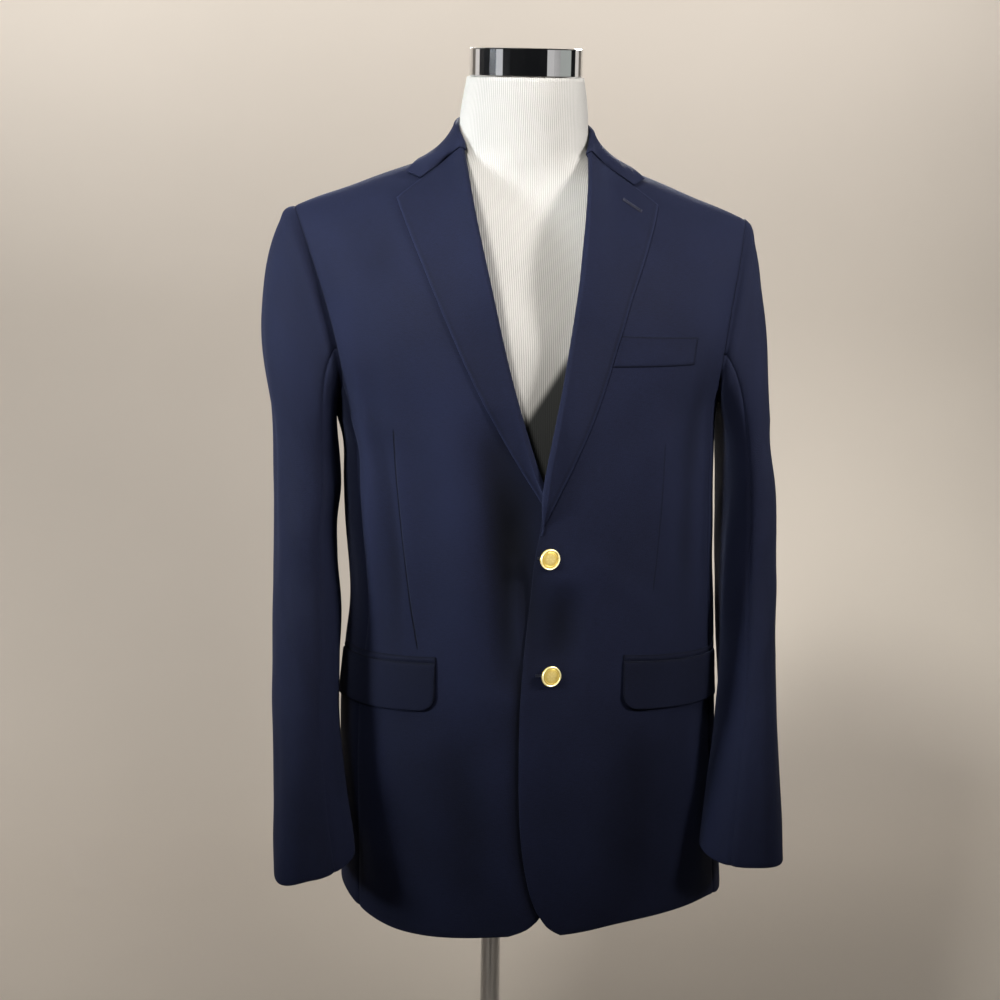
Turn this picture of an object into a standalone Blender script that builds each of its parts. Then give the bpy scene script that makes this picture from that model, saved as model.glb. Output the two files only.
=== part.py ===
"""A single breasted blazer, worn by a limbless dress form on a pole and a round foot.

The garment is hollow cloth: every piece is a thin wall between an outer and an inner skin, both
worked out from the same rings, so that pieces meet edge to edge at their seams. Units are metres,
+Z is up, the front faces -Y and +X is the wearer's left. The origin is the middle of the foot's
underside. Garment tables are written about the jacket's own middle line, which `hang` then places.
"""

import bpy
import bmesh
import numpy as np

# ---------------------------------------------------------------- driving sizes

CLOTH = 0.0020              # thickness of the wool with its interlining
SEAM = 0.0003               # space between two pieces at a seam
PLY = 0.0012                # space between a piece and the one that lies on it

HEM = 0.725                 # height of the hem all round
UNDERARM = 1.262            # height of the armhole's lowest point
SHOULDER = (0.231, 1.4506)  # shoulder point, out from the middle and up
NECK_POINT = (0.077, 1.508) # where the shoulder seam meets the neck seam
RIDGE_Y = 0.004             # depth at which the shoulder seam runs
FRONT_ROLL = 0.170          # height over which the chest rounds over to the shoulder seam
BACK_ROLL = 0.100           # the same for the back
SHOULDER_TILT = 0.020       # fall of the shoulder line, metres for each metre towards the left

FRONT_SEAM = 66.0           # degrees round from the front's middle to the front of the side panel
BACK_SEAM = 110.0           # degrees to the back of the side panel

# Rings of the jacket's body: half width on the wearer's left and right, front and back depth,
# squareness of the section, and how far the ring hangs out to the wearer's left of the pole.
BODY_RINGS = np.array([
    # height  left     right    front   back   square  aside
    [0.725,   0.2102,  0.2080,  0.152,  0.130,  2.15,  0.0425],
    [0.800,   0.2066,  0.2062,  0.151,  0.129,  2.15,  0.0405],
    [0.900,   0.2015,  0.2042,  0.149,  0.122,  2.20,  0.0378],
    [0.960,   0.1995,  0.1995,  0.148,  0.114,  2.22,  0.0361],
    [1.000,   0.1985,  0.1942,  0.147,  0.108,  2.25,  0.0350],
    [1.045,   0.1973,  0.1868,  0.146,  0.102,  2.28,  0.0336],
    [1.090,   0.1958,  0.1863,  0.146,  0.098,  2.30,  0.0320],
    [1.140,   0.1955,  0.1894,  0.146,  0.100,  2.33,  0.0302],
    [1.180,   0.1955,  0.1902,  0.147,  0.103,  2.35,  0.0288],
    [1.225,   0.1958,  0.1912,  0.148,  0.109,  2.38,  0.0273],
    [1.250,   0.1970,  0.1970,  0.148,  0.113,  2.40,  0.0264],
    [1.262,   0.1985,  0.1985,  0.148,  0.114,  2.40,  0.0260],
    [1.310,   0.2140,  0.2140,  0.147,  0.119,  2.40,  0.0243],
    [1.360,   0.2250,  0.2250,  0.143,  0.121,  2.40,  0.0226],
    [1.410,   0.2370,  0.2370,  0.138,  0.118,  2.40,  0.0210],
    [1.460,   0.2480,  0.2480,  0.131,  0.112,  2.40,  0.0197],
    [1.560,   0.2600,  0.2600,  0.120,  0.100,  2.40,  0.0190]])

# Rise of the hem over its level, by degrees round from the front's middle.
HEM_RISE = np.array([
    # angle    rise
    [-180.0,   0.0000],
    [-110.0,   0.0055],
    [-88.0,    0.0078],
    [-78.0,    0.0062],
    [-68.0,    0.0015],
    [-58.0,   -0.0040],
    [-46.0,   -0.0080],
    [-36.0,   -0.0076],
    [-22.0,   -0.0040],
    [-8.0,     0.0003],
    [6.0,      0.0037],
    [18.0,     0.0085],
    [30.0,     0.0099],
    [46.0,     0.0088],
    [60.0,     0.0060],
    [72.0,    -0.0015],
    [84.0,    -0.0070],
    [110.0,   -0.0060],
    [180.0,    0.0000]])

# Top line of the shoulder, from the neck outward.
SHOULDER_LINE = np.array([
    # out    height
    [0.000,  1.562],
    [0.045,  1.544],
    [0.077,  1.508],
    [0.110,  1.494],
    [0.140,  1.4835],
    [0.175,  1.4715],
    [0.210,  1.4595],
    [0.231,  1.4506],
    [0.260,  1.4360]])

# Armhole, from the shoulder point to the underarm, as distance from the middle.
ARMHOLE = np.array([
    # height  front    back
    [1.262,   0.1985,  0.1985],
    [1.266,   0.1945,  0.1975],
    [1.275,   0.1915,  0.1985],
    [1.295,   0.1905,  0.2010],
    [1.330,   0.1955,  0.2065],
    [1.370,   0.2055,  0.2140],
    [1.410,   0.2170,  0.2220],
    [1.4506,  0.2310,  0.2310]])

# Front edges from the hem to the break, then the line that the lapel folds on. Positive is
# towards the wearer's left, so the left front's edge is the negative one: it laps over.
LEFT_EDGE = np.array([
    # height  across
    [0.725,   0.0130],
    [0.731,   0.0040],
    [0.7454, -0.0069],
    [0.765,  -0.0150],
    [0.788,  -0.0203],
    [0.830,  -0.0255],
    [0.880,  -0.0272],
    [0.930,  -0.0265],
    [0.982,  -0.0243],
    [1.045,  -0.0180],
    [1.086,  -0.0124],
    [1.127,  -0.0079],
    [1.150,  -0.0035],
    [1.208,   0.0035],
    [1.260,   0.0135],
    [1.312,   0.0240],
    [1.377,   0.0367],
    [1.440,   0.0475],
    [1.480,   0.0540],
    [1.508,   0.0610]])

RIGHT_EDGE = np.array([
    # height  across
    [0.725,  -0.0400],
    [0.729,  -0.0265],
    [0.735,  -0.0165],
    [0.7454, -0.0069],
    [0.765,   0.0035],
    [0.790,   0.0110],
    [0.840,   0.0185],
    [0.900,   0.0225],
    [0.980,   0.0245],
    [1.060,   0.0245],
    [1.120,   0.0230],
    [1.150,   0.0195],
    [1.208,  -0.0040],
    [1.264,  -0.0198],
    [1.312,  -0.0312],
    [1.377,  -0.0442],
    [1.440,  -0.0548],
    [1.480,  -0.0600],
    [1.508,  -0.0630]])

# Lapel: its outer edge from the break to the tip, measured out from the middle line.
LAPEL_EDGE = np.array([
    # height  left     right
    [1.1500, -0.0035, -0.0195],
    [1.1640,  0.0040, -0.0095],
    [1.1840,  0.0135,  0.0014],
    [1.2250,  0.0312,  0.0268],
    [1.2700,  0.0530,  0.0485],
    [1.3100,  0.0715,  0.0645],
    [1.3440,  0.0855,  0.0775],
    [1.3767,  0.0985,  0.0905],
    [1.4100,  0.1090,  0.1040],
    [1.4400,  0.1180,  0.1165],
    [1.4685,  0.1285,  0.1305]])
LAPEL_START = 1.156             # just above the break, where the lapel is a few millimetres wide
LAPEL_TOP = 1.4685              # height of the tip
NOTCH = (0.1040, 1.4835)        # inner corner of the notch, out and up
GORGE = (0.0640, 1.5020)        # where the gorge seam meets the fold

# Collar from the back's middle to the front: its fold and its neck seam as distance out, depth
# and height, and its outer edge as distance out and depth on the shoulders.
COLLAR = np.array([
    # share  fold: out, depth, up          seam: out, depth, up        edge: out, depth
    [0.00,   0.0000,  0.0780, 1.5450,   0.0000,  0.0770, 1.5225,   0.0000,  0.1020],
    [0.18,   0.0280,  0.0720, 1.5445,   0.0280,  0.0715, 1.5220,   0.0390,  0.0960],
    [0.36,   0.0525,  0.0540, 1.5425,   0.0520,  0.0540, 1.5200,   0.0770,  0.0750],
    [0.52,   0.0665,  0.0250, 1.5390,   0.0680,  0.0260, 1.5160,   0.1030,  0.0430],
    [0.68,   0.0697, -0.0080, 1.5350,   0.0720, -0.0020, 1.5125,   0.1135,  0.0070],
    [0.85,   0.0680, -0.0380, 1.5225,   0.0695, -0.0300, 1.5080,   0.1175, -0.0200],
    [1.00,   0.0625, -0.0575, 1.5065,   0.0640, -0.0500, 1.5010,   0.1190, -0.0420]])
COLLAR_COLUMNS = 11
FOLD_RADIUS = 0.0026
COLLAR_REST = 0.0046            # height of the collar's outer face over the shoulders
COLLAR_HOLLOW = 0.0090          # how far the fall curves in between its fold and its edge

# Hanging sleeves below the head: the wearer's left one hangs beside the body, the right one
# a little in front of it.
SLEEVE_RINGS = np.array([
    # height  half_depth  square   left: out, half width, depth   right: out, half width, depth
    [0.760,   0.0505,     2.80,    0.2075,  0.0462, -0.1150,     0.2351,  0.0430, -0.1000],
    [0.820,   0.0545,     2.60,    0.2120,  0.0421, -0.1000,     0.2360,  0.0410, -0.0870],
    [0.860,   0.0575,     2.50,    0.2154,  0.0394, -0.0880,     0.2377,  0.0380, -0.0765],
    [0.900,   0.0605,     2.40,    0.2186,  0.0356, -0.0760,     0.2386,  0.0358, -0.0660],
    [0.940,   0.0634,     2.35,    0.2223,  0.0319, -0.0632,     0.2394,  0.0345, -0.0556],
    [1.000,   0.0675,     2.30,    0.2266,  0.0278, -0.0440,     0.2369,  0.0352, -0.0400],
    [1.050,   0.0706,     2.32,    0.2280,  0.0275, -0.0325,     0.2347,  0.0347, -0.0300],
    [1.100,   0.0735,     2.35,    0.2304,  0.0273, -0.0210,     0.2334,  0.0330, -0.0200],
    [1.140,   0.0757,     2.35,    0.2312,  0.0263, -0.0150,     0.2316,  0.0328, -0.0150],
    [1.180,   0.0775,     2.35,    0.2310,  0.0245, -0.0090,     0.2274,  0.0353, -0.0100],
    [1.225,   0.0785,     2.35,    0.2272,  0.0227, -0.0050,     0.2266,  0.0349, -0.0060],
    [1.300,   0.0800,     2.35,    0.2305,  0.0227,  0.0000,     0.2294,  0.0349,  0.0000]])
SLEEVE_CLEAR = 0.0045           # least space from the hanging sleeve to the body
SLEEVE_SOFT = 0.0015            # how softly the sleeve bends away from the body
SLEEVE_HEAD = {
    # fullness of each sleeve's head, and how far it leans out at its start and at its end
    1: (0.180, 0.475, 0.103),
    -1: (0.165, 0.834, -0.133)}
CUFF = {1: 0.7990, -1: 0.7930}  # height of each cuff, left and right
CUFF_SLANT = {1: 0.004, -1: 0.007}  # how much lower a cuff is on its outside
CUFF_LEAD = {1: 0.0, -1: 0.36}  # how much fuller the outer half of a cuff's front is
CAP_END = 1.222             # height where the sleeve's head has become a plain tube
CAP_SLANT = 0.035           # the head ends higher on the outside than by the body
FORE_SEAM = 112.0           # degrees from the sleeve's outside to its front seam
HIND_SEAM = 246.0           # degrees to its back seam

# Pockets: inner end from the middle, height there, length, fall towards the side.
FLAP_LENGTH = 0.142
FLAP_DEPTH = 0.050
FLAP_FALL = 0.016
FLAP_TOP = {"left": (0.0800, 1.0175), "right": (-0.1070, 1.0150)}
JET = 0.0060
FLAP_CORNER = 0.015

WELT_INNER = (1.3485, 1.3200)   # heights of the chest welt's two corners beside the lapel
WELT_OUTER = ((0.1605, 1.3430), (0.1570, 1.3160))
WELT_CLEAR = 0.0012             # space between the lapel's edge and the welt

BUTTON_ACROSS = 0.0045
BUTTON_HEIGHTS = {"button_top": 1.128, "button_bottom": 1.007}
BUTTON_RADIUS = 0.0105
BUTTON_DEPTH = 0.0034

# Dress form: half width, front and back depth, squareness and lean to the wearer's left.
FORM_RINGS = np.array([
    # height  half_width  front   back    square  aside
    [0.800,   0.1650,    0.108,  0.104,  2.20,   0.0190],
    [0.830,   0.1760,    0.118,  0.110,  2.25,   0.0205],
    [0.900,   0.1800,    0.123,  0.106,  2.30,   0.0230],
    [1.000,   0.1700,    0.122,  0.092,  2.30,   0.0250],
    [1.090,   0.1610,    0.121,  0.082,  2.30,   0.0255],
    [1.180,   0.1660,    0.126,  0.086,  2.30,   0.0250],
    [1.260,   0.1740,    0.131,  0.097,  2.30,   0.0240],
    [1.330,   0.1840,    0.126,  0.101,  2.30,   0.0225],
    [1.385,   0.1920,    0.104,  0.089,  2.25,   0.0213],
    [1.425,   0.1960,    0.082,  0.073,  2.20,   0.0205],
    [1.450,   0.1900,    0.070,  0.062,  2.15,   0.0200],
    [1.466,   0.1715,    0.063,  0.058,  2.10,   0.0195],
    [1.480,   0.1367,    0.059,  0.056,  2.05,   0.0192],
    [1.492,   0.1012,    0.057,  0.056,  2.00,   0.0190],
    [1.506,   0.0722,    0.057,  0.058,  2.00,   0.0190],
    [1.525,   0.0632,    0.057,  0.059,  2.00,   0.0192],
    [1.550,   0.0608,    0.057,  0.058,  2.00,   0.0196],
    [1.585,   0.0578,    0.056,  0.056,  2.00,   0.0203]])
FORM_COLUMNS = 30

CAP_RADIUS = 0.0565
CAP_HEIGHT = 0.0275
CAP_EDGE = 0.0012
POLE_RADIUS = 0.0108
FOOT_RADIUS = 0.170
FOOT_HEIGHT = 0.012
FOOT_EDGE = 0.003

NAVY = (0.010, 0.013, 0.030, 1.0)
JERSEY = (0.78, 0.77, 0.72, 1.0)
CHROME = (0.75, 0.75, 0.76, 1.0)
BRASS = (0.83, 0.58, 0.16, 1.0)


# ---------------------------------------------------------------- sections and skins

def smooth_table(table, column, at):
    """Read a column of a table at any value of its first column, along a smooth curve."""
    keys = table[:, 0]
    values = table[:, column]
    slopes = np.gradient(values, keys)
    at = np.clip(np.asarray(at, float), keys[0], keys[-1])
    row = np.clip(np.searchsorted(keys, at) - 1, 0, len(keys) - 2)
    span = keys[row + 1] - keys[row]
    t = (at - keys[row]) / span
    start = (1 + 2 * t) * (1 - t) ** 2 * values[row] + t * (1 - t) ** 2 * span * slopes[row]
    end = t * t * (3 - 2 * t) * values[row + 1] + t * t * (t - 1) * span * slopes[row + 1]
    return start + end


def ease(low, high, value):
    """Go from 0 at low to 1 at high, level at both ends."""
    t = np.clip((np.asarray(value, float) - low) / (high - low), 0.0, 1.0)
    return t * t * (3 - 2 * t)


def signed_power(value, power):
    return np.sign(value) * np.abs(value) ** power


def half_width(side, height):
    """Half of the body's width at a height, on the wearer's left (positive side) or right."""
    left = smooth_table(BODY_RINGS, 1, height)
    return np.where(np.asarray(side) >= 0, left, smooth_table(BODY_RINGS, 2, height))


def hang(points):
    """Place jacket points: each height moves aside as the cloth hangs, and the shoulders tilt."""
    aside = smooth_table(BODY_RINGS, 6, points[..., 2])
    fall = SHOULDER_TILT * points[..., 0] * ease(1.15, 1.40, points[..., 2])
    moved = points.copy()
    moved[..., 0] += aside
    moved[..., 2] -= fall
    return moved


def ridge_height(across):
    return smooth_table(SHOULDER_LINE, 1, np.abs(across))


def body_skin(angle, height):
    """Point of the jacket's outer skin, degrees round from the front's middle and height."""
    square = smooth_table(BODY_RINGS, 5, height)
    sine = np.sin(np.radians(angle))
    cosine = np.cos(np.radians(angle))
    half = half_width(sine, height)
    front = cosine > 0
    depth = np.where(front, smooth_table(BODY_RINGS, 3, height), smooth_table(BODY_RINGS, 4, height))
    roll = np.where(front, FRONT_ROLL, BACK_ROLL)
    across = half * signed_power(sine, 2 / square)
    drop = np.clip((ridge_height(across) - height) / roll, 0.0, 1.0)
    swell = np.sqrt(1 - (1 - drop) ** 2)
    back = RIDGE_Y * (1 - ease(0.0, 1.0, drop))
    out = back - depth * signed_power(cosine, 2 / square) * swell
    return np.stack([across, out, height + 0 * across], -1)


def body_point(angle, height, lift=0.0):
    """Point at a height above the jacket's outer skin, square to it."""
    turn = 0.4
    rise = 0.0004
    point = body_skin(angle, height)
    round_body = body_skin(angle + turn, height) - body_skin(angle - turn, height)
    up_body = body_skin(angle, height + rise) - body_skin(angle, height - rise)
    normal = np.cross(round_body, up_body)
    normal /= np.linalg.norm(normal, axis=-1, keepdims=True)
    return point + normal * np.expand_dims(np.broadcast_to(lift, normal.shape[:-1]), -1)


def angle_of(across, height, behind=False):
    """Angle round the body of a point that is given by its distance from the middle."""
    half = half_width(across, height)
    square = smooth_table(BODY_RINGS, 5, height)
    sine = signed_power(np.clip(across / half, -1, 1), square / 2)
    angle = np.degrees(np.arcsin(sine))
    if behind:
        return np.where(angle >= 0, 180.0, -180.0) - angle
    return angle


# ---------------------------------------------------------------- meshes

for old in list(bpy.data.objects):
    bpy.data.objects.remove(old)

COLLECTION = bpy.data.collections.new("blazer_on_dress_form")
bpy.context.scene.collection.children.link(COLLECTION)


def material(name, colour, metallic, roughness):
    shader = bpy.data.materials.new(name)
    shader.use_nodes = True
    socket = shader.node_tree.nodes["Principled BSDF"].inputs
    socket["Base Color"].default_value = colour
    socket["Metallic"].default_value = metallic
    socket["Roughness"].default_value = roughness
    return shader


def add_object(name, mesh, colour, metallic=0.0, roughness=0.85):
    piece = bpy.data.objects.new(name, mesh)
    mesh.materials.append(material(name, colour, metallic, roughness))
    mesh.shade_smooth()
    mesh.set_sharp_from_angle(angle=np.radians(40))
    COLLECTION.objects.link(piece)
    return piece


def cloth_wall(name, outer, inner, colour=NAVY):
    """Close two matching grids of points into one wall, with a rim along all four edges."""
    rows, columns = outer.shape[:2]
    points = np.concatenate([outer.reshape(-1, 3), inner.reshape(-1, 3)])
    index = np.arange(rows * columns).reshape(rows, columns)
    under = index + rows * columns
    faces = []
    for skin, flip in ((index, False), (under, True)):
        quads = np.stack([skin[:-1, :-1], skin[:-1, 1:], skin[1:, 1:], skin[1:, :-1]], -1)
        quads = quads.reshape(-1, 4)
        faces += (quads[:, ::-1] if flip else quads).tolist()
    loop = np.concatenate([index[0, :], index[1:, -1], index[-1, -2::-1], index[-2:0:-1, 0]])
    following = np.roll(loop, -1)
    base = rows * columns
    faces += np.stack([following, loop, loop + base, following + base], -1).tolist()
    mesh = bpy.data.meshes.new(name)
    mesh.from_pydata(points.tolist(), [], faces)
    shape = bmesh.new()
    shape.from_mesh(mesh)
    bmesh.ops.recalc_face_normals(shape, faces=shape.faces)
    shape.to_mesh(mesh)
    shape.free()
    return add_object(name, mesh, colour)


def skins(angle, height, low, high):
    """Outer and inner skin of a piece that lies between two lifts above the body."""
    return hang(body_point(angle, height, high)), hang(body_point(angle, height, low))


# ---------------------------------------------------------------- seams that pieces share

def armhole_angle(height, behind=False):
    """Degrees round the body at which the armhole passes a height."""
    return angle_of(smooth_table(ARMHOLE, 2 if behind else 1, height), height, behind)


def armhole_height(angle, behind=False):
    """Height of the armhole over the side panel, at an angle round the body."""
    heights = np.linspace(UNDERARM, 1.40, 400)
    angles = armhole_angle(heights, behind)
    order = np.argsort(angles)
    return np.interp(angle, angles[order], heights[order])


FRONT_SCYE = float(armhole_height(FRONT_SEAM))
BACK_SCYE = float(armhole_height(BACK_SEAM, behind=True))
HALF_SEAM = np.degrees(SEAM / 2 / 0.17)
BELOW_ARMHOLE = np.array([
    HEM, 0.7305, 0.7454, 0.765, 0.790, 0.830, 0.885, 0.945, 1.005, 1.060, 1.105, 1.150, 1.180,
    1.208, 1.240])
TO_ARMHOLE = np.array([1 / 3, 2 / 3, 1.0])  # rows between the last of those and the seam's top
ABOVE_ARMHOLE = 1 - (1 - np.linspace(0, 1, 12)[1:]) ** 1.8
FRONT_COLUMNS = 12
SIDE_COLUMNS = 9
BACK_COLUMNS = 9


def levels(scye):
    """Heights of a panel's rows at its side: up the seam, then up the armhole."""
    last = BELOW_ARMHOLE[-1]
    to_scye = last + (scye - last) * TO_ARMHOLE
    above = scye + (SHOULDER[1] - scye) * ABOVE_ARMHOLE
    return np.concatenate([BELOW_ARMHOLE, to_scye, above])


def panel(scye, seam, inner_line, inner_top, behind, columns, side):
    """Grid of a front or back: distance across and height of each of its points."""
    outer = levels(scye)
    above = np.clip((outer - scye) / (SHOULDER[1] - scye), 0, 1)
    half = half_width(side, outer)
    square = smooth_table(BODY_RINGS, 5, outer)
    seam_line = half * np.sin(np.radians(seam)) ** (2 / square)
    armhole = smooth_table(ARMHOLE, 2 if behind else 1, outer) - SEAM / 2
    outer_line = np.where(above > 0, armhole, seam_line) * side
    inner = np.where(above > 0, scye + above * (inner_top - scye), outer)
    start = inner_line(inner)
    share = 1 - (1 - np.linspace(0, 1, columns)[None, :]) ** 1.35
    across = start[:, None] + (outer_line - start)[:, None] * share
    height = inner[:, None] + (outer - inner)[:, None] * share
    reach = np.where(np.abs(across[-1]) > NECK_POINT[0], ridge_height(across[-1]),
                     neck_height(across[-1]) if behind else inner_top)
    height += (reach - height[-1])[None, :] * above[:, None] ** 2
    return across, np.minimum(height, ridge_height(across) - 0.00001)


def hem_rise(angle, height):
    """The hem's own line, fading out a hand's width above it."""
    return smooth_table(HEM_RISE, 1, angle) * (1 - ease(HEM, HEM + 0.16, height))


def neck_height(across):
    """Height of the back neck seam."""
    out = np.clip(np.abs(across) / NECK_POINT[0], 0, 1)
    return NECK_POINT[1] + 0.013 * np.sqrt(1 - out ** 2)


# ---------------------------------------------------------------- fronts

def left_front_lift(across, height):
    """How far the left front's outer face stands off the body where it laps over the right."""
    lap = 1 - ease(0.035, 0.105, across)
    over_lapel = ease(1.07, 1.13, height) * (1 - ease(1.25, 1.36, height))
    over_front = 1 - ease(1.22, 1.40, height)
    return lap * (over_front + over_lapel) * (CLOTH + PLY)


def front_lift(side, across, height):
    return left_front_lift(across, height) if side > 0 else 0 * across


def on_front(side, across, height, above=0.0):
    """Placed point at a height above a front's outer face."""
    lift = front_lift(side, across, height) + above
    return hang(body_point(angle_of(across, height), height, lift))


FOLD_BACK = 0.0025          # how far the front keeps behind the lapel's fold
NECK_CUT = 0.0130           # how much further the neck seam leaves the fold, under the collar


def build_front(name, side):
    edge = LEFT_EDGE if side > 0 else RIGHT_EDGE

    def inner_line(up):
        behind_fold = FOLD_BACK * ease(1.16, 1.22, up) + NECK_CUT * ease(1.45, 1.508, up)
        return smooth_table(edge, 1, up) + side * behind_fold

    across, height = panel(FRONT_SCYE, FRONT_SEAM - HALF_SEAM, inner_line, NECK_POINT[1], False,
                           FRONT_COLUMNS, side)
    angle = angle_of(across, height)
    height = height + hem_rise(angle, height)
    across = body_skin(angle, height)[..., 0]
    return cloth_wall(name, on_front(side, across, height),
                      on_front(side, across, height, -CLOTH))


build_front("front_left", 1)
build_front("front_right", -1)


# ---------------------------------------------------------------- side panels

def build_side(name, side):
    angle = np.linspace(FRONT_SEAM + HALF_SEAM, BACK_SEAM - HALF_SEAM, SIDE_COLUMNS)[None, :]
    top = np.where(angle < 90, armhole_height(angle), armhole_height(angle, behind=True))
    last = BELOW_ARMHOLE[-1]
    below = BELOW_ARMHOLE[:, None] + 0 * angle
    height = np.concatenate([below, last + (top - last) * TO_ARMHOLE[:, None]])
    angle = side * np.broadcast_to(angle, height.shape)
    height = height + hem_rise(angle, height)
    outer, inner = skins(angle, height, -CLOTH, 0.0)
    return cloth_wall(name, outer, inner)


build_side("side_left", 1)
build_side("side_right", -1)


# ---------------------------------------------------------------- backs

def build_back(name, side):
    across, height = panel(BACK_SCYE, BACK_SEAM + HALF_SEAM, lambda z: side * SEAM / 2 + 0 * z,
                           neck_height(0.0), True, BACK_COLUMNS, side)
    angle = angle_of(across, height, behind=True)
    outer, inner = skins(angle, height + hem_rise(angle, height), -CLOTH, 0.0)
    return cloth_wall(name, outer, inner)


build_back("back_left", 1)
build_back("back_right", -1)


# ---------------------------------------------------------------- lapels

LAPEL_ROWS = 18
LAPEL_COLUMNS = 7
GORGE_GAP = 0.0010


def build_lapel(name, side):
    """The top of a front, turned out at the fold and laid on the chest."""
    share = 1 - (1 - np.linspace(0, 1, LAPEL_ROWS)) ** 1.25
    fold_up = LAPEL_START + (GORGE[1] - LAPEL_START) * share
    edge_up = LAPEL_START + (LAPEL_TOP - LAPEL_START) * share
    fold = smooth_table(LEFT_EDGE if side > 0 else RIGHT_EDGE, 1, fold_up)
    edge = smooth_table(LAPEL_EDGE, 1 if side > 0 else 2, edge_up) * side
    over = np.linspace(0, 1, LAPEL_COLUMNS)[None, :]
    across = fold[:, None] + (edge - fold)[:, None] * over
    height = fold_up[:, None] + (edge_up - fold_up)[:, None] * over
    height = height - ease(0.85, 1.0, share)[:, None] * GORGE_GAP
    outer = on_front(side, across, height, PLY + CLOTH)
    inner = on_front(side, across, height, PLY)
    return cloth_wall(name, outer, inner)


build_lapel("lapel_left", 1)
build_lapel("lapel_right", -1)


# ---------------------------------------------------------------- collar

def over_shoulder(across, depth, lift):
    """Point above the jacket's skin that is given by its place in plan."""
    height = ridge_height(across) - 0.01
    back = depth > RIDGE_Y
    roll = np.where(back, BACK_ROLL, FRONT_ROLL)
    for _ in range(12):
        half = half_width(across, height)
        square = smooth_table(BODY_RINGS, 5, height)
        reach = np.where(back, smooth_table(BODY_RINGS, 4, height), smooth_table(BODY_RINGS, 3, height))
        reach = reach * (1 - np.abs(across / half) ** square) ** (1 / square)
        swell = np.clip(np.abs(depth - RIDGE_Y) / reach, 0.02, 0.999)
        height = ridge_height(across) - roll * (1 - np.sqrt(1 - swell ** 2))
    angle = np.where(back, angle_of(across, height, behind=True), angle_of(across, height))
    return body_point(angle, height, lift)


def build_collar(name):
    """Stand and fall in one band: up from the neck seam, over the fold, down to the edge."""
    share = np.linspace(-1, 1, 2 * COLLAR_COLUMNS + 1)
    side = np.sign(share)
    reach = np.abs(share)
    read = [smooth_table(COLLAR, column, reach) for column in range(1, 9)]
    fold = np.stack([read[0] * side, read[1], read[2]], -1)
    seam = np.stack([read[3] * side, read[4], read[5]], -1)
    edge = over_shoulder(read[6] * side, read[7], COLLAR_REST)
    away = edge - seam
    away[:, 2] = 0
    away /= np.linalg.norm(away, axis=1, keepdims=True)
    up = np.array([0.0, 0.0, 1.0])
    centre = fold - up * FOLD_RADIUS
    rows = [seam, seam * 0.45 + (centre - away * FOLD_RADIUS) * 0.55]
    for turn in np.radians([180, 135, 90, 45]):
        rows.append(centre + FOLD_RADIUS * (np.cos(turn) * away + np.sin(turn) * up))
    start = centre + FOLD_RADIUS * away
    for part in (0.12, 0.34, 0.58, 0.76, 0.88, 1.0):
        hollow = COLLAR_HOLLOW * np.sin(np.pi * part) * ease(0.40, 0.62, reach)[:, None]
        rows.append(start + (edge - start) * part - away * hollow)
    grid = np.stack(rows)
    ground = over_shoulder(grid[7:, :, 0], grid[7:, :, 1], COLLAR_REST)[..., 2]
    clear = (ground < NECK_POINT[1] + 0.004) & (grid[7:, :, 2] < ground)
    grid[7:, :, 2] = np.where(clear, ground, grid[7:, :, 2])
    notch = angle_of(NOTCH[0], NOTCH[1])
    corner = body_point(np.array(notch), np.array(NOTCH[1]), COLLAR_REST)
    for column, direction in ((0, -1.0), (-1, 1.0)):
        target = corner * np.array([direction, 1, 1])
        start_end = start[column]
        tip = edge[column]
        for row, part in ((7, 0.34), (8, 0.58), (9, 0.76), (10, 0.88)):
            leg = min(part / 0.76, 1.0)
            bent = start_end + (target - start_end) * leg
            if part > 0.76:
                bent = target + (tip - target) * (part - 0.76) / 0.24
            shift = bent - grid[row, column]
            grid[row, column] += shift
            inner = column + 1 if column == 0 else column - 1
            grid[row, inner] += shift * 0.35
    along = np.gradient(grid, axis=1)
    down = np.gradient(grid, axis=0)
    normal = np.cross(down, along)
    normal /= np.linalg.norm(normal, axis=-1, keepdims=True)
    return cloth_wall(name, hang(grid), hang(grid - normal * CLOTH * 0.9))


build_collar("collar")


# ---------------------------------------------------------------- sleeves

SLEEVE_ROWS_CAP = 8
SLEEVE_BELOW = np.linspace(1, 2, 8)[1:]
TOP_COLUMNS = 13
UNDER_COLUMNS = 15


def beside_body(point, side):
    """Push points that come nearer to the body than SLEEVE_CLEAR softly out from it."""
    square = smooth_table(BODY_RINGS, 5, point[..., 2])
    depth = np.where(point[..., 1] < 0, smooth_table(BODY_RINGS, 3, point[..., 2]),
                     smooth_table(BODY_RINGS, 4, point[..., 2]))
    sizes = np.stack([half_width(side, point[..., 2]), depth], -1)
    share = np.abs(point[..., :2]) / sizes
    reach = np.sum(share ** square[..., None], -1) ** (1 / square)
    slope = share ** (square[..., None] - 1) * (reach ** (1 - square))[..., None] / sizes
    steep = np.linalg.norm(slope, axis=-1)
    push = SLEEVE_SOFT * np.log1p(np.exp((SLEEVE_CLEAR - (reach - 1) / steep) / SLEEVE_SOFT))
    moved = point.copy()
    moved[..., :2] += np.sign(point[..., :2]) * slope * (push / steep)[..., None]
    return moved


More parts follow.
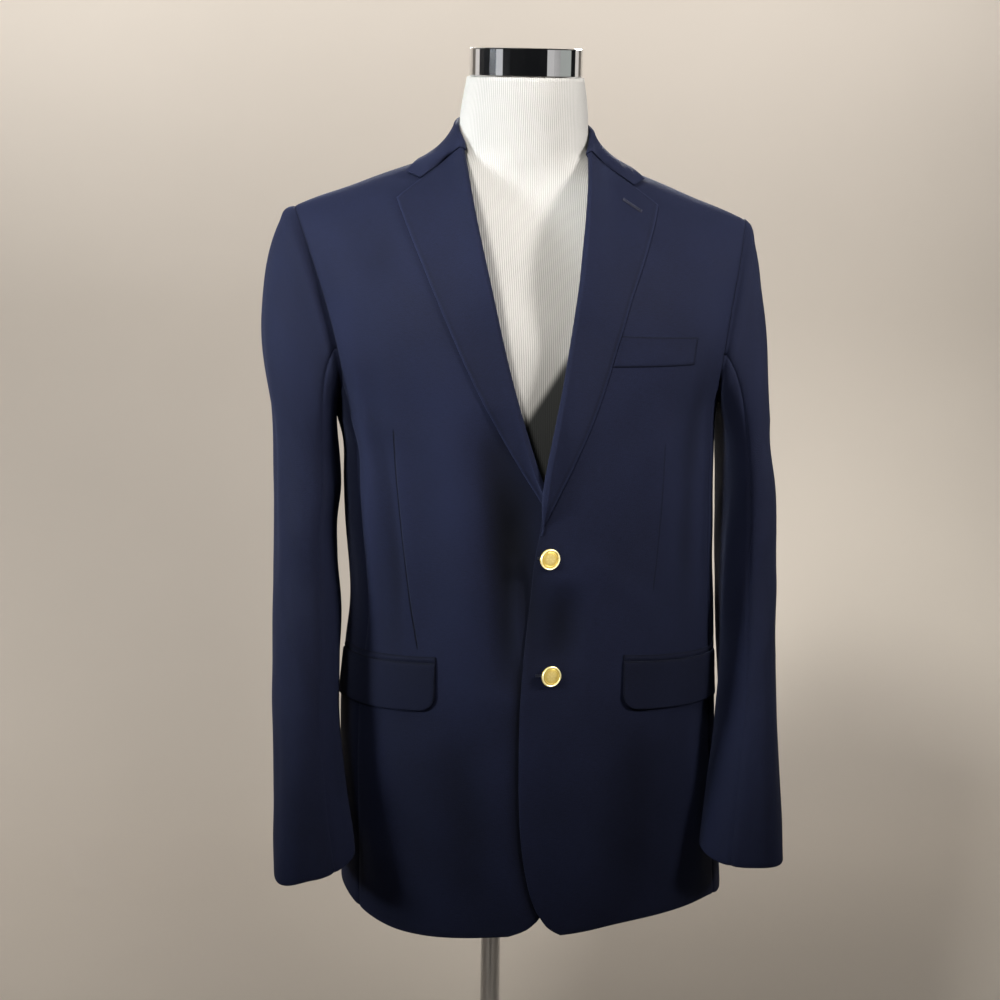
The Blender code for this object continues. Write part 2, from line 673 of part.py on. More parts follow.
def sleeve_ring(turn, height, slant, side):
    """Ring of the hanging sleeve: 0 degrees is its outside, 90 its front, 180 by the body."""
    cosine = np.cos(np.radians(turn))
    sine = np.sin(np.radians(turn))
    level = height + slant * cosine
    own = 3 if side > 0 else 6
    square = smooth_table(SLEEVE_RINGS, 2, level)
    half = smooth_table(SLEEVE_RINGS, own + 1, level)
    deep = smooth_table(SLEEVE_RINGS, 1, level)
    out = smooth_table(SLEEVE_RINGS, own, level) + half * signed_power(cosine, 2 / square)
    lead = CUFF_LEAD[side] * (1 - ease(CUFF[side], 1.0, level)) * cosine * (sine > 0)
    back = smooth_table(SLEEVE_RINGS, own + 2, level) - deep * signed_power(sine, 2 / square) * (1 + lead)
    return beside_body(np.stack([out, back, level], -1), side)


def armhole_ring(turn):
    """The armhole at a turn round the sleeve, and the outward direction of the body there."""
    turn = np.mod(turn, 360.0)
    height = UNDERARM + (SHOULDER[1] - UNDERARM) * (1 + np.cos(np.radians(turn))) / 2
    behind = turn > 180
    angle = np.where(behind, armhole_angle(height, behind=True), armhole_angle(height))
    skin = body_point(angle, height)
    return skin, body_point(angle, height, 1.0) - skin


def sleeve_skin(turn, part, side):
    """Point of a sleeve: part runs from 0 at the armhole, past 1 at the cap's end, to 2 at the cuff."""
    turn = np.broadcast_to(turn, part.shape)
    cosine = np.cos(np.radians(turn))
    skin, normal = armhole_ring(turn)
    outward = np.array([1.0, 0.0, 0.0])
    upward = np.array([0.0, 0.0, 1.0])
    head = ((1 + cosine) / 2)[..., None]
    full, first_lean, last_lean = SLEEVE_HEAD[side]
    start = skin + outward * (0.0012 - 0.0006 * head) + normal * 0.0006
    lean = normal * 3.0 * head * (1 - head) + outward * (0.10 + (first_lean - 0.10) * head) - upward
    lean /= np.linalg.norm(lean, axis=-1, keepdims=True)
    end = sleeve_ring(turn, np.full(part.shape, CAP_END), CAP_SLANT, side)
    length = np.linalg.norm(end - start, axis=-1, keepdims=True)
    t = np.clip(part, 0, 1)[..., None]
    first = start + lean * length * (full + 0.06 * (1 - head))
    second = end + (upward - outward * last_lean * head) * length * 0.46
    cap = (1 - t) ** 3 * start + 3 * (1 - t) ** 2 * t * first + 3 * (1 - t) * t * t * second + t ** 3 * end
    below = np.clip(part - 1, 0, 1)
    height = CAP_END + (CUFF[side] - CAP_END) * below
    slant = CAP_SLANT + (-CUFF_SLANT[side] - CAP_SLANT) * below
    tube = sleeve_ring(turn, height, slant, side)
    return np.where(part[..., None] <= 1, cap, tube)


def half_seam(turn, part, side):
    """Degrees that half of a seam's space takes up at each row; the head's twisted rows have more."""
    step = sleeve_skin(turn + 0.5, part, side) - sleeve_skin(turn - 0.5, part, side)
    return SEAM * np.where(part < 1.1, 1.05, 0.55) / np.linalg.norm(step, axis=-1)


def build_sleeve(name, side, first, last, columns):
    part = np.concatenate([np.linspace(0, 1, SLEEVE_ROWS_CAP), SLEEVE_BELOW])[:, None]
    start = first + half_seam(first, part, side)
    turn = start + (last - half_seam(last, part, side) - start) * np.linspace(0, 1, columns)
    part = part + 0 * turn
    point = sleeve_skin(turn, part, side)
    ahead = sleeve_skin(turn, np.minimum(part + 0.01, 2.0), side)
    behind = sleeve_skin(turn, np.maximum(part - 0.01, 0.0), side)
    round_sleeve = sleeve_skin(turn + 0.5, part, side) - sleeve_skin(turn - 0.5, part, side)
    normal = np.cross(behind - ahead, round_sleeve)
    normal /= np.linalg.norm(normal, axis=-1, keepdims=True)
    head = (1 + np.cos(np.radians(turn[0, :, None]))) / 2
    normal[0] = normal[0] * (1 - head) + armhole_ring(turn[0])[1] * head
    normal[0] /= np.linalg.norm(normal[0], axis=-1, keepdims=True)
    mirror = np.array([side, 1, 1])
    return cloth_wall(name, hang(point * mirror), hang((point - normal * CLOTH) * mirror))


for label, hand in (("left", 1), ("right", -1)):
    build_sleeve("sleeve_top_" + label, hand, HIND_SEAM - 360, FORE_SEAM, TOP_COLUMNS)
    build_sleeve("sleeve_under_" + label, hand, FORE_SEAM, HIND_SEAM, UNDER_COLUMNS)


# ---------------------------------------------------------------- pockets

def angle_along(start, side, height, distance):
    """Angle round the body at a distance along a ring from a starting angle, towards a side."""
    angles = start + side * np.linspace(0, 90, 900)
    ring = body_skin(angles, np.full(angles.shape, height))
    run = np.concatenate([[0], np.cumsum(np.linalg.norm(np.diff(ring, axis=0), axis=1))])
    return np.interp(distance, run, angles)


def pocket_strip(name, side, inner, top, distance, down, low, thick):
    """A strip that lies along the pocket: distances from its inner end, and heights below its line."""
    angle = angle_along(float(angle_of(inner, top)), side, top, distance)
    height = top - FLAP_FALL * distance / FLAP_LENGTH - down
    across = body_skin(angle, height)[..., 0]
    base = front_lift(side, across, height)
    outer = hang(body_point(angle, height, base + low + thick))
    under = hang(body_point(angle, height, base + low))
    return cloth_wall(name, outer, under)


FLAP_ROWS = np.array([0.0, 0.5, 0.70, 0.80, 0.90, 0.97, 1.0])
FLAP_COLUMNS = 9

for label, hand in (("left", 1), ("right", -1)):
    pocket_in, pocket_up = FLAP_TOP[label]
    down = FLAP_ROWS[:, None] * FLAP_DEPTH
    into_corner = np.clip(down - (FLAP_DEPTH - FLAP_CORNER), 0, FLAP_CORNER)
    start_at = FLAP_CORNER - np.sqrt(FLAP_CORNER ** 2 - into_corner ** 2)
    along = start_at + (FLAP_LENGTH - start_at) * np.linspace(0, 1, FLAP_COLUMNS)[None, :] ** 1.2
    pocket_strip("flap_" + label, hand, pocket_in, pocket_up, along, down + 0 * along, PLY, CLOTH)
    jet_down = np.array([-SEAM - JET, -SEAM - JET / 2, -SEAM])[:, None]
    jet_along = FLAP_LENGTH * np.linspace(0, 1, FLAP_COLUMNS)[None, :] + 0 * jet_down
    pocket_strip("jet_" + label, hand, pocket_in, pocket_up, jet_along, jet_down + 0 * jet_along,
                 PLY * 0.7, CLOTH * 0.6)


def build_welt(name):
    right = np.linspace(0, 1, 6)[None, :, None]
    low = np.linspace(0, 1, 3)[:, None, None]
    inner = [np.array([float(smooth_table(LAPEL_EDGE, 1, up)) + WELT_CLEAR, up]) for up in WELT_INNER]
    top = inner[0] * (1 - right) + np.array(WELT_OUTER[0]) * right
    bottom = inner[1] * (1 - right) + np.array(WELT_OUTER[1]) * right
    spot = top * (1 - low) + bottom * low
    return cloth_wall(name, on_front(1, spot[..., 0], spot[..., 1], PLY + CLOTH),
                      on_front(1, spot[..., 0], spot[..., 1], PLY))


build_welt("chest_welt")


# ---------------------------------------------------------------- buttons

def turned(name, profile, colour, metallic, roughness, steps):
    """Turn a profile of radius and height about +Z with a Screw modifier."""
    mesh = bpy.data.meshes.new(name)
    points = [(radius, 0.0, height) for radius, height in profile]
    mesh.from_pydata(points, [(i, i + 1) for i in range(len(points) - 1)], [])
    piece = add_object(name, mesh, colour, metallic, roughness)
    screw = piece.modifiers.new("turn", "SCREW")
    screw.axis = "Z"
    screw.steps = steps
    screw.render_steps = steps
    screw.use_merge_vertices = True
    screw.merge_threshold = 0.00001
    screw.use_smooth_shade = True
    return piece


BUTTON_PROFILE = [
    # down the outer side, from the middle of the face to the middle of the back
    (0.0, BUTTON_DEPTH),
    (BUTTON_RADIUS * 0.45, BUTTON_DEPTH * 0.97),
    (BUTTON_RADIUS * 0.80, BUTTON_DEPTH * 0.84),
    (BUTTON_RADIUS * 0.86, BUTTON_DEPTH * 0.98),
    (BUTTON_RADIUS * 0.95, BUTTON_DEPTH * 0.96),
    (BUTTON_RADIUS, BUTTON_DEPTH * 0.70),
    (BUTTON_RADIUS * 0.97, BUTTON_DEPTH * 0.30),
    (BUTTON_RADIUS * 0.80, 0.0),
    (0.0, 0.0)]


for label, up in BUTTON_HEIGHTS.items():
    spot = np.array(BUTTON_ACROSS)
    level = np.array(up)
    seat = on_front(1, spot, level, SEAM)
    facing = on_front(1, spot, level, SEAM + 0.01) - seat
    button = turned(label, BUTTON_PROFILE, BRASS, 1.0, 0.3, 28)
    button.location = seat.tolist()
    button.rotation_euler = (np.arccos(facing[2] / np.linalg.norm(facing)), 0.0,
                             np.arctan2(facing[0], -facing[1]))


# ---------------------------------------------------------------- dress form

def build_form(name):
    """Smooth torso and neck: rings of the table, lofted and closed at both ends."""
    rows = np.concatenate([np.linspace(0.800, 1.330, 9), [1.36, 1.385, 1.408, 1.428, 1.443, 1.455,
                           1.466, 1.476, 1.486, 1.496, 1.508, 1.525, 1.555, 1.585]])
    turn = np.radians(np.arange(FORM_COLUMNS) * 360 / FORM_COLUMNS)[None, :]
    height = rows[:, None] + 0 * turn
    half, front, back, square, aside = [smooth_table(FORM_RINGS, i, height) for i in range(1, 6)]
    deep = np.where(np.cos(turn) > 0, front, back)
    across = half * signed_power(np.sin(turn), 2 / square)
    out = -deep * signed_power(np.cos(turn), 2 / square)
    tilt = SHOULDER_TILT * across * ease(1.15, 1.40, height) * (1 - ease(1.49, 1.54, height))
    points = np.stack([across + aside, out, height - tilt], -1)
    count = len(rows)
    index = np.arange(count * FORM_COLUMNS).reshape(count, FORM_COLUMNS)
    onward = np.roll(index, -1, axis=1)
    quads = np.stack([index[:-1], onward[:-1], onward[1:], index[1:]], -1).reshape(-1, 4)
    faces = quads.tolist() + [index[0, ::-1].tolist(), index[-1].tolist()]
    mesh = bpy.data.meshes.new(name)
    mesh.from_pydata(points.reshape(-1, 3).tolist(), [], faces)
    return add_object(name, mesh, JERSEY, 0.0, 0.9)


build_form("form_torso")


def cylinder(name, radius, low, high, edge, aside, colour, roughness):
    """Upright cylinder with rounded rims."""
    bpy.ops.mesh.primitive_cylinder_add(vertices=48, radius=radius, depth=high - low,
                                        location=(aside, 0.0, (low + high) / 2))
    piece = bpy.context.object
    piece.name = name
    piece.data.name = name
    piece.data.materials.append(material(name, colour, 1.0, roughness))
    for holder in piece.users_collection:
        holder.objects.unlink(piece)
    COLLECTION.objects.link(piece)
    bevel = piece.modifiers.new("rims", "BEVEL")
    bevel.width = edge
    bevel.segments = 2
    bevel.limit_method = "ANGLE"
    piece.data.shade_smooth()
    piece.data.set_sharp_from_angle(angle=np.radians(30))
    return piece


NECK_TOP = FORM_RINGS[-1, 0]
cylinder("neck_cap", CAP_RADIUS, NECK_TOP + SEAM, NECK_TOP + SEAM + CAP_HEIGHT, CAP_EDGE,
         FORM_RINGS[-1, 5], CHROME, 0.12)
cylinder("pole", POLE_RADIUS, FOOT_HEIGHT + SEAM, FORM_RINGS[0, 0] - SEAM, 0.0004, 0.0, CHROME, 0.12)
cylinder("foot", FOOT_RADIUS, 0.0, FOOT_HEIGHT, FOOT_EDGE, 0.0, CHROME, 0.25)
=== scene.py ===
import bpy
import numpy as np
from mathutils import Matrix, Vector


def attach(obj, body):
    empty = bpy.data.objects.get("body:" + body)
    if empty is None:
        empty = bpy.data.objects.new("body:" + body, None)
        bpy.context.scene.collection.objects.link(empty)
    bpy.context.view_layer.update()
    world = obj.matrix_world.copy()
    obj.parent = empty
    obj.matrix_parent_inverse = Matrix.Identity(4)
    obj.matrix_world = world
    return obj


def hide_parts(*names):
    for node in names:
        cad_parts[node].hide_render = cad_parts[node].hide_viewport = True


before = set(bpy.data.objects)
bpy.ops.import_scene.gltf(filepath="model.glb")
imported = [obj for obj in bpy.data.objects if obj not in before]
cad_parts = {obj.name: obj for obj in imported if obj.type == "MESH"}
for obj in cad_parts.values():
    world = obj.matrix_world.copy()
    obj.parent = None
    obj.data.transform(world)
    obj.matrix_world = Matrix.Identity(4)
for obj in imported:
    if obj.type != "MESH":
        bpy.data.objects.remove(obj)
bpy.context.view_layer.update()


# ---------------------------------------------------------------- fronts
# Two fronts of navy worsted, each cut in one up to the neck and shaped by a dart below the chest.
# They are sewn to the side panels and along the shoulders. The wearer's left one laps over the
# right one, two buttons hold them together, and the top of each turns out into its lapel.

# The jacket's shape, in metres, about its own middle line. The fronts are worked out from it
# first and the other pieces after them, so that neighbours meet at their seams.
CLOTH = 0.0020                # thickness of the wool
SEAM = 0.0003                 # space between two pieces at a seam
HEM = 0.725                   # height of the hem
UNDERARM = 1.262              # height of the armhole's lowest point
SHOULDER = (0.231, 1.4506)    # outer end of the shoulder seam: distance across, height
NECK_POINT = (0.077, 1.508)   # its inner end, at the neck
RIDGE_Y = 0.004               # how far the shoulder's ridge lies behind the middle
FRONT_ROLL = 0.170            # drop below the ridge over which the chest comes round to it
BACK_ROLL = 0.100             # the same behind
SHOULDER_TILT = 0.020         # how far the shoulders sink to the wearer's left, for each metre
TILT_HEIGHTS = (1.15, 1.40)   # the heights between which that tilt sets in
FRONT_SEAM = 66.0             # degrees round from the front's middle to the side panel

# Rings of the body: half widths on the wearer's left and right, depths in front and behind, power
# of the superellipse, and how far aside the ring hangs.
BODY_RINGS = np.array([
    # height  left     right    front   back   square  aside
    [0.725,   0.2102,  0.2080,  0.152,  0.130,  2.15,  0.0425],
    [0.800,   0.2066,  0.2062,  0.151,  0.129,  2.15,  0.0405],
    [0.900,   0.2015,  0.2042,  0.149,  0.122,  2.20,  0.0378],
    [0.960,   0.1995,  0.1995,  0.148,  0.114,  2.22,  0.0361],
    [1.000,   0.1985,  0.1942,  0.147,  0.108,  2.25,  0.0350],
    [1.045,   0.1973,  0.1868,  0.146,  0.102,  2.28,  0.0336],
    [1.090,   0.1958,  0.1863,  0.146,  0.098,  2.30,  0.0320],
    [1.140,   0.1955,  0.1894,  0.146,  0.100,  2.33,  0.0302],
    [1.180,   0.1955,  0.1902,  0.147,  0.103,  2.35,  0.0288],
    [1.225,   0.1958,  0.1912,  0.148,  0.109,  2.38,  0.0273],
    [1.250,   0.1970,  0.1970,  0.148,  0.113,  2.40,  0.0264],
    [1.262,   0.1985,  0.1985,  0.148,  0.114,  2.40,  0.0260],
    [1.310,   0.2140,  0.2140,  0.147,  0.119,  2.40,  0.0243],
    [1.360,   0.2250,  0.2250,  0.143,  0.121,  2.40,  0.0226],
    [1.410,   0.2370,  0.2370,  0.138,  0.118,  2.40,  0.0210],
    [1.460,   0.2480,  0.2480,  0.131,  0.112,  2.40,  0.0197],
    [1.560,   0.2600,  0.2600,  0.120,  0.100,  2.40,  0.0190]])

# How far the hem rises at an angle round the body.
HEM_RISE = np.array([
    # angle    rise
    [-180.0,   0.0000],
    [-110.0,   0.0055],
    [-88.0,    0.0078],
    [-78.0,    0.0062],
    [-68.0,    0.0015],
    [-58.0,   -0.0040],
    [-46.0,   -0.0080],
    [-36.0,   -0.0076],
    [-22.0,   -0.0040],
    [-8.0,     0.0003],
    [6.0,      0.0037],
    [18.0,     0.0085],
    [30.0,     0.0099],
    [46.0,     0.0088],
    [60.0,     0.0060],
    [72.0,    -0.0015],
    [84.0,    -0.0070],
    [110.0,   -0.0060],
    [180.0,    0.0000]])

# The shoulder's ridge, and the armhole's distance from the middle in front and behind.
SHOULDER_LINE = np.array([
    # out    height
    [0.000,  1.562],
    [0.045,  1.544],
    [0.077,  1.508],
    [0.110,  1.4968],
    [0.140,  1.4860],
    [0.175,  1.4722],
    [0.210,  1.4597],
    [0.231,  1.4506],
    [0.260,  1.4360]])

ARMHOLE = np.array([
    # height  front    back
    [1.262,   0.1985,  0.1985],
    [1.266,   0.1945,  0.1975],
    [1.275,   0.1915,  0.1985],
    [1.295,   0.1905,  0.2010],
    [1.330,   0.1955,  0.2065],
    [1.370,   0.2055,  0.2140],
    [1.410,   0.2170,  0.2220],
    [1.4506,  0.2310,  0.2310]])

# Soft folds of the body: from a first to a last point, each in degrees round from the front's
# middle and height; half width; height of a ridge, or depth of a trough below zero; and how far
# the middle bows round the body, in degrees.
FOLDS = np.array([
    # angle1   height1  angle2   height2  half    rise     bow
    [-13.0,    1.275,   -8.0,    0.985,   0.026,  -0.0105,  3.0],
    [-5.5,     1.130,   -4.5,    0.990,   0.0075,  0.0040, -1.0],
    [-21.0,    1.330,   -22.0,   0.960,   0.034,   0.0060,  0.0],
    [-47.0,    1.400,   -55.0,   1.100,   0.013,   0.0034, -3.0],
    [-40.0,    1.370,   -43.0,   1.010,   0.013,   0.0026,  1.0],
    [-52.0,    1.300,   -47.0,   1.010,   0.010,  -0.0024,  2.0],
    [-58.0,    1.250,   -60.0,   1.000,   0.012,   0.0028,  0.0],
    [5.0,      1.105,   2.5,     1.010,   0.016,  -0.0050,  0.0],
    [9.0,      1.130,   34.0,    1.060,   0.012,   0.0014,  0.0],
    [30.0,     1.290,   40.0,    1.080,   0.018,   0.0020,  2.0],
    [50.0,     1.330,   47.0,    1.060,   0.014,  -0.0022,  0.0],
    [57.0,     1.280,   58.0,    0.980,   0.012,   0.0024, -2.0],
    [-24.0,    0.960,   -20.0,   0.730,   0.022,  -0.0030,  0.0],
    [-52.0,    0.960,   -55.0,   0.735,   0.018,   0.0030,  0.0],
    [26.0,     0.950,   24.0,    0.735,   0.024,  -0.0026,  0.0],
    [50.0,     0.950,   54.0,    0.740,   0.016,   0.0030,  0.0],
    [-88.0,    1.200,   -84.0,   0.900,   0.014,   0.0030,  0.0],
    [88.0,     1.200,   92.0,    0.900,   0.014,   0.0028,  0.0],
    [-100.0,   0.950,   -96.0,   0.730,   0.013,  -0.0030,  0.0],
    [101.0,    0.950,   97.0,    0.730,   0.013,  -0.0028,  0.0],
    [128.0,    1.320,   122.0,   1.060,   0.013,  -0.0045,  3.0],
    [137.0,    1.350,   131.0,   1.080,   0.012,   0.0034,  2.0],
    [-127.0,   1.330,   -121.0,  1.050,   0.013,  -0.0042, -3.0],
    [-138.0,   1.340,   -130.0,  1.090,   0.012,   0.0036, -2.0],
    [156.0,    1.130,   -158.0,  1.085,   0.013,  -0.0030,  0.0],
    [150.0,    1.080,   -166.0,  1.040,   0.011,   0.0022,  0.0],
    [170.0,    1.470,   -150.0,  1.440,   0.012,  -0.0018,  0.0],
    [146.0,    0.960,   142.0,   0.735,   0.018,   0.0045,  0.0],
    [-146.0,   0.950,   -143.0,  0.735,   0.018,   0.0042,  0.0],
    [164.0,    0.900,   166.0,   0.735,   0.018,  -0.0038,  0.0],
    [-166.0,   0.900,   -164.0,  0.735,   0.018,  -0.0040,  0.0],
    [28.0,     1.420,   16.0,    1.470,   0.012,  -0.0008,  0.0],
    [-30.0,    1.430,   -42.0,   1.380,   0.014,  -0.0010,  0.0]])
UNEVEN = 0.0004               # height of the cloth's slight unevenness
FOLD_BLUNT = 0.8              # power of sin(pi t): how bluntly a fold ends
FOLDS_END = (1.42, 1.50)      # the heights between which the folds fade out to the shoulder
DEEP_FOLD = 0.0110            # depth of a trough in full shade
HIGH_FOLD = 0.0050            # height of a ridge in full light
RIDGE_LIGHT = 0.25            # that light, as a share of full shade


def smooth_table(table, column, at):
    """Read a column of a table at any value of its first column, along a smooth curve."""
    keys = table[:, 0]
    values = table[:, column]
    slopes = np.gradient(values, keys)
    at = np.clip(np.asarray(at, float), keys[0], keys[-1])
    row = np.clip(np.searchsorted(keys, at) - 1, 0, len(keys) - 2)
    span = keys[row + 1] - keys[row]
    t = (at - keys[row]) / span
    start = (1 + 2 * t) * (1 - t) ** 2 * values[row] + t * (1 - t) ** 2 * span * slopes[row]
    end = t * t * (3 - 2 * t) * values[row + 1] + t * t * (t - 1) * span * slopes[row + 1]
    return start + end


def ease(low, high, value):
    """Go from 0 at low to 1 at high, level at both ends: 3t^2 - 2t^3."""
    t = np.clip((np.asarray(value, float) - low) / (high - low), 0.0, 1.0)
    return t * t * (3 - 2 * t)


def bell(distance, half):
    """A soft hump, exp(-(d / half)^2)."""
    return np.exp(-(np.asarray(distance) / half) ** 2)


def signed_power(value, power):
    """Size of a number to a power, with the number's own sign."""
    return np.sign(value) * np.abs(value) ** power


def unit(vectors):
    """Vectors divided by their own length."""
    return vectors / np.maximum(np.linalg.norm(vectors, axis=-1, keepdims=True), 1e-12)


def half_width(side, height):
    """Half of the body's width at a height, on the wearer's left (positive side) or right."""
    left = smooth_table(BODY_RINGS, 1, height)
    return np.where(np.asarray(side) >= 0, left, smooth_table(BODY_RINGS, 2, height))


def hang(points):
    """Place jacket points: each height moves aside as the cloth hangs, and the shoulders tilt."""
    moved = points.copy()
    moved[..., 0] += smooth_table(BODY_RINGS, 6, points[..., 2])
    moved[..., 2] -= SHOULDER_TILT * points[..., 0] * ease(*TILT_HEIGHTS, points[..., 2])
    return moved


def ridge_height(across):
    """Height of the shoulder's ridge, the same at equal distances on both sides."""
    return smooth_table(SHOULDER_LINE, 1, np.abs(across))


def body_skin(angle, height):
    """Superellipse x = w sin(a)^(2/n), y = -d cos(a)^(2/n), with d falling to the shoulder ridge
    as a circle: d = d0 sqrt(1 - (1 - drop)^2)."""
    square = smooth_table(BODY_RINGS, 5, height)
    sine = np.sin(np.radians(angle))
    cosine = np.cos(np.radians(angle))
    half = half_width(sine, height)
    front = cosine > 0
    depth = np.where(front, smooth_table(BODY_RINGS, 3, height), smooth_table(BODY_RINGS, 4, height))
    roll = np.where(front, FRONT_ROLL, BACK_ROLL)
    across = half * signed_power(sine, 2 / square)
    drop = np.clip((ridge_height(across) - height) / roll, 0.0, 1.0)
    swell = np.sqrt(1 - (1 - drop) ** 2)
    back = RIDGE_Y * (1 - ease(0.0, 1.0, drop))
    out = back - depth * signed_power(cosine, 2 / square) * swell
    return np.stack([across, out, height + 0 * across], -1)


def body_point(angle, height, lift=0.0):
    """Skin point plus lift times the unit normal, the cross product of two short steps on it."""
    turn = 0.4                # degrees
    rise = 0.0004             # metres
    point = body_skin(angle, height)
    round_body = body_skin(angle + turn, height) - body_skin(angle - turn, height)
    up_body = body_skin(angle, height + rise) - body_skin(angle, height - rise)
    normal = unit(np.cross(round_body, up_body))
    return point + normal * np.expand_dims(np.broadcast_to(lift, normal.shape[:-1]), -1)


def along_fold(point, first, last, bow):
    """Distance of points from the line first + t chord + 4 t (1 - t) bow, and their t from 0 to 1."""
    chord = last - first
    t = np.clip(np.sum((point - first) * chord, -1) / np.sum(chord * chord), 0, 1)
    centre = first + chord * t[..., None] + bow * (4 * t * (1 - t))[..., None]
    return np.linalg.norm(point - centre, axis=-1), t


def fold_lines():
    """First and last point, bow, half width and rise of each fold on the unfolded skin."""
    lines = []
    for first_angle, first_up, last_angle, last_up, half, rise, bow in FOLDS:
        if abs(last_angle - first_angle) > 180:
            last_angle += 360 * np.sign(first_angle - last_angle)
        first = body_skin(first_angle, first_up)
        last = body_skin(last_angle, last_up)
        middle = body_skin((first_angle + last_angle) / 2 + bow, (first_up + last_up) / 2)
        lines.append((first, last, middle - (first + last) / 2, half, rise))
    return lines


FOLD_LINES = fold_lines()


def body_folds(angle, height):
    """Sum of the soft folds, h = rise exp(-(d / half)^2) sin(pi t)^0.8, and slow crossed waves."""
    point = body_skin(angle, height)
    total = UNEVEN * np.sin(point[..., 0] * 61 + 2.1 * np.sin(height * 23)) * np.sin(height * 41)
    for first, last, bow, half, rise in FOLD_LINES:
        distance, t = along_fold(point, first, last, bow)
        total = total + rise * bell(distance, half) * np.sin(np.pi * t) ** FOLD_BLUNT
    return total * (1 - ease(*FOLDS_END, height))


def fold_shade(angle, height):
    """Shade of the folds: (depth / DEEP_FOLD)^0.8 in a trough, and a little below 0 on a ridge."""
    rise = body_folds(angle, height)
    return np.clip(-rise / DEEP_FOLD, 0, 1) ** 0.8 - RIDGE_LIGHT * np.clip(rise / HIGH_FOLD, 0, 1)


def angle_of(across, height, behind=False):
    """Angle whose skin point is this far from the middle: arcsin((x / w)^(n/2))."""
    half = half_width(across, height)
    square = smooth_table(BODY_RINGS, 5, height)
    sine = signed_power(np.clip(across / half, -1, 1), square / 2)
    angle = np.degrees(np.arcsin(sine))
    if behind:
        return np.where(angle >= 0, 180.0, -180.0) - angle
    return angle


def armhole_angle(height, behind=False):
    """Angle round the body of the armhole, from its distance across at this height."""
    return angle_of(smooth_table(ARMHOLE, 2 if behind else 1, height), height, behind)


SIDE_LIMIT = 1.40             # the side panel's part of the armhole stays below this height


def armhole_height(angle, behind=False):
    """Height of the armhole over the side panel at an angle, read backwards from 400 heights."""
    heights = np.linspace(UNDERARM, SIDE_LIMIT, 400)
    angles = armhole_angle(heights, behind)
    order = np.argsort(angles)
    return np.interp(angle, angles[order], heights[order])


# Scye is the tailor's word for armhole. The rows of a panel go up its seam to the scye, and then
# along the scye to the shoulder.
FRONT_SCYE = float(armhole_height(FRONT_SEAM))
BODY_ROUND = 0.17             # radius of the body at its side seams
HALF_SEAM = np.degrees(SEAM / 2 / BODY_ROUND)
SEAM_DIP = 0.0011             # how far the cloth sinks into a seam
SEAM_HALF = 0.0028            # half width of that groove
COLUMN_SPREAD = 1.35          # power that brings the columns closer at the armhole
RIDGE_CLEAR = 0.00001         # how far the cloth stays below the shoulder's ridge
NECK_ARCH = 0.013             # rise of the neck seam from the shoulders to the back's middle
HEM_REACH = 0.16              # height above the hem where its rise and fall have faded out

BELOW = np.concatenate([[HEM, 0.7265, 0.7285, 0.7315, 0.735, 0.740, 0.7454, 0.752, 0.7585],
                        np.linspace(0.765, 1.240, 84)])
UP_TO_SCYE = np.linspace(0, 1, 8)[1:]
ABOVE_SCYE = 1 - (1 - np.linspace(0, 1, 52)[1:]) ** 1.8


def levels(scye):
    """Heights of a panel's rows at its side: up the seam, then up the armhole."""
    last = BELOW[-1]
    return np.concatenate([BELOW, last + (scye - last) * UP_TO_SCYE,
                           scye + (SHOULDER[1] - scye) * ABOVE_SCYE])


def neck_height(across):
    """Neck seam of the back, an ellipse: h0 + arch sqrt(1 - (x / x0)^2)."""
    out = np.clip(np.abs(across) / NECK_POINT[0], 0, 1)
    return NECK_POINT[1] + NECK_ARCH * np.sqrt(1 - out ** 2)


def panel(scye, seam, inner_line, inner_top, behind, columns, side):
    """Grid of a front or back: distance across and height of its points, shared out from the inner
    line to the seam and armhole, and pulled up to the shoulder by the square of the way up."""
    outer = levels(scye)
    above = np.clip((outer - scye) / (SHOULDER[1] - scye), 0, 1)
    half = half_width(side, outer)
    square = smooth_table(BODY_RINGS, 5, outer)
    seam_line = half * np.sin(np.radians(seam)) ** (2 / square)
    armhole = smooth_table(ARMHOLE, 2 if behind else 1, outer) - SEAM / 2
    outer_line = np.where(above > 0, armhole, seam_line) * side
    inner = np.where(above > 0, scye + above * (inner_top - scye), outer)
    start = inner_line(inner)
    share = 1 - (1 - np.linspace(0, 1, columns)[None, :]) ** COLUMN_SPREAD
    across = start[:, None] + (outer_line - start)[:, None] * share
    height = inner[:, None] + (outer - inner)[:, None] * share
    reach = np.where(np.abs(across[-1]) > NECK_POINT[0], ridge_height(across[-1]),
                     neck_height(across[-1]) if behind else inner_top)
    height += (reach - height[-1])[None, :] * above[:, None] ** 2
    return across, np.minimum(height, ridge_height(across) - RIDGE_CLEAR)


def hem_rise(angle, height):
    """The hem's rise at an angle, fading out above it."""
    return smooth_table(HEM_RISE, 1, angle) * (1 - ease(HEM, HEM + HEM_REACH, height))


def from_edges(points, rows=(), columns=()):
    """Distance along the grid from the nearest of the named first or last rows and columns."""
    nearest = np.full(points.shape[:2], 1.0)
    for axis, ends in ((0, rows), (1, columns)):
        step = np.linalg.norm(np.diff(points, axis=axis), axis=-1)
        zero = np.zeros_like(np.take(step, [0], axis))
        run = np.concatenate([zero, np.cumsum(step, axis)], axis)
        for end in ends:
            reach = run if end == "first" else np.take(run, [-1], axis) - run
            nearest = np.minimum(nearest, reach)
    return nearest


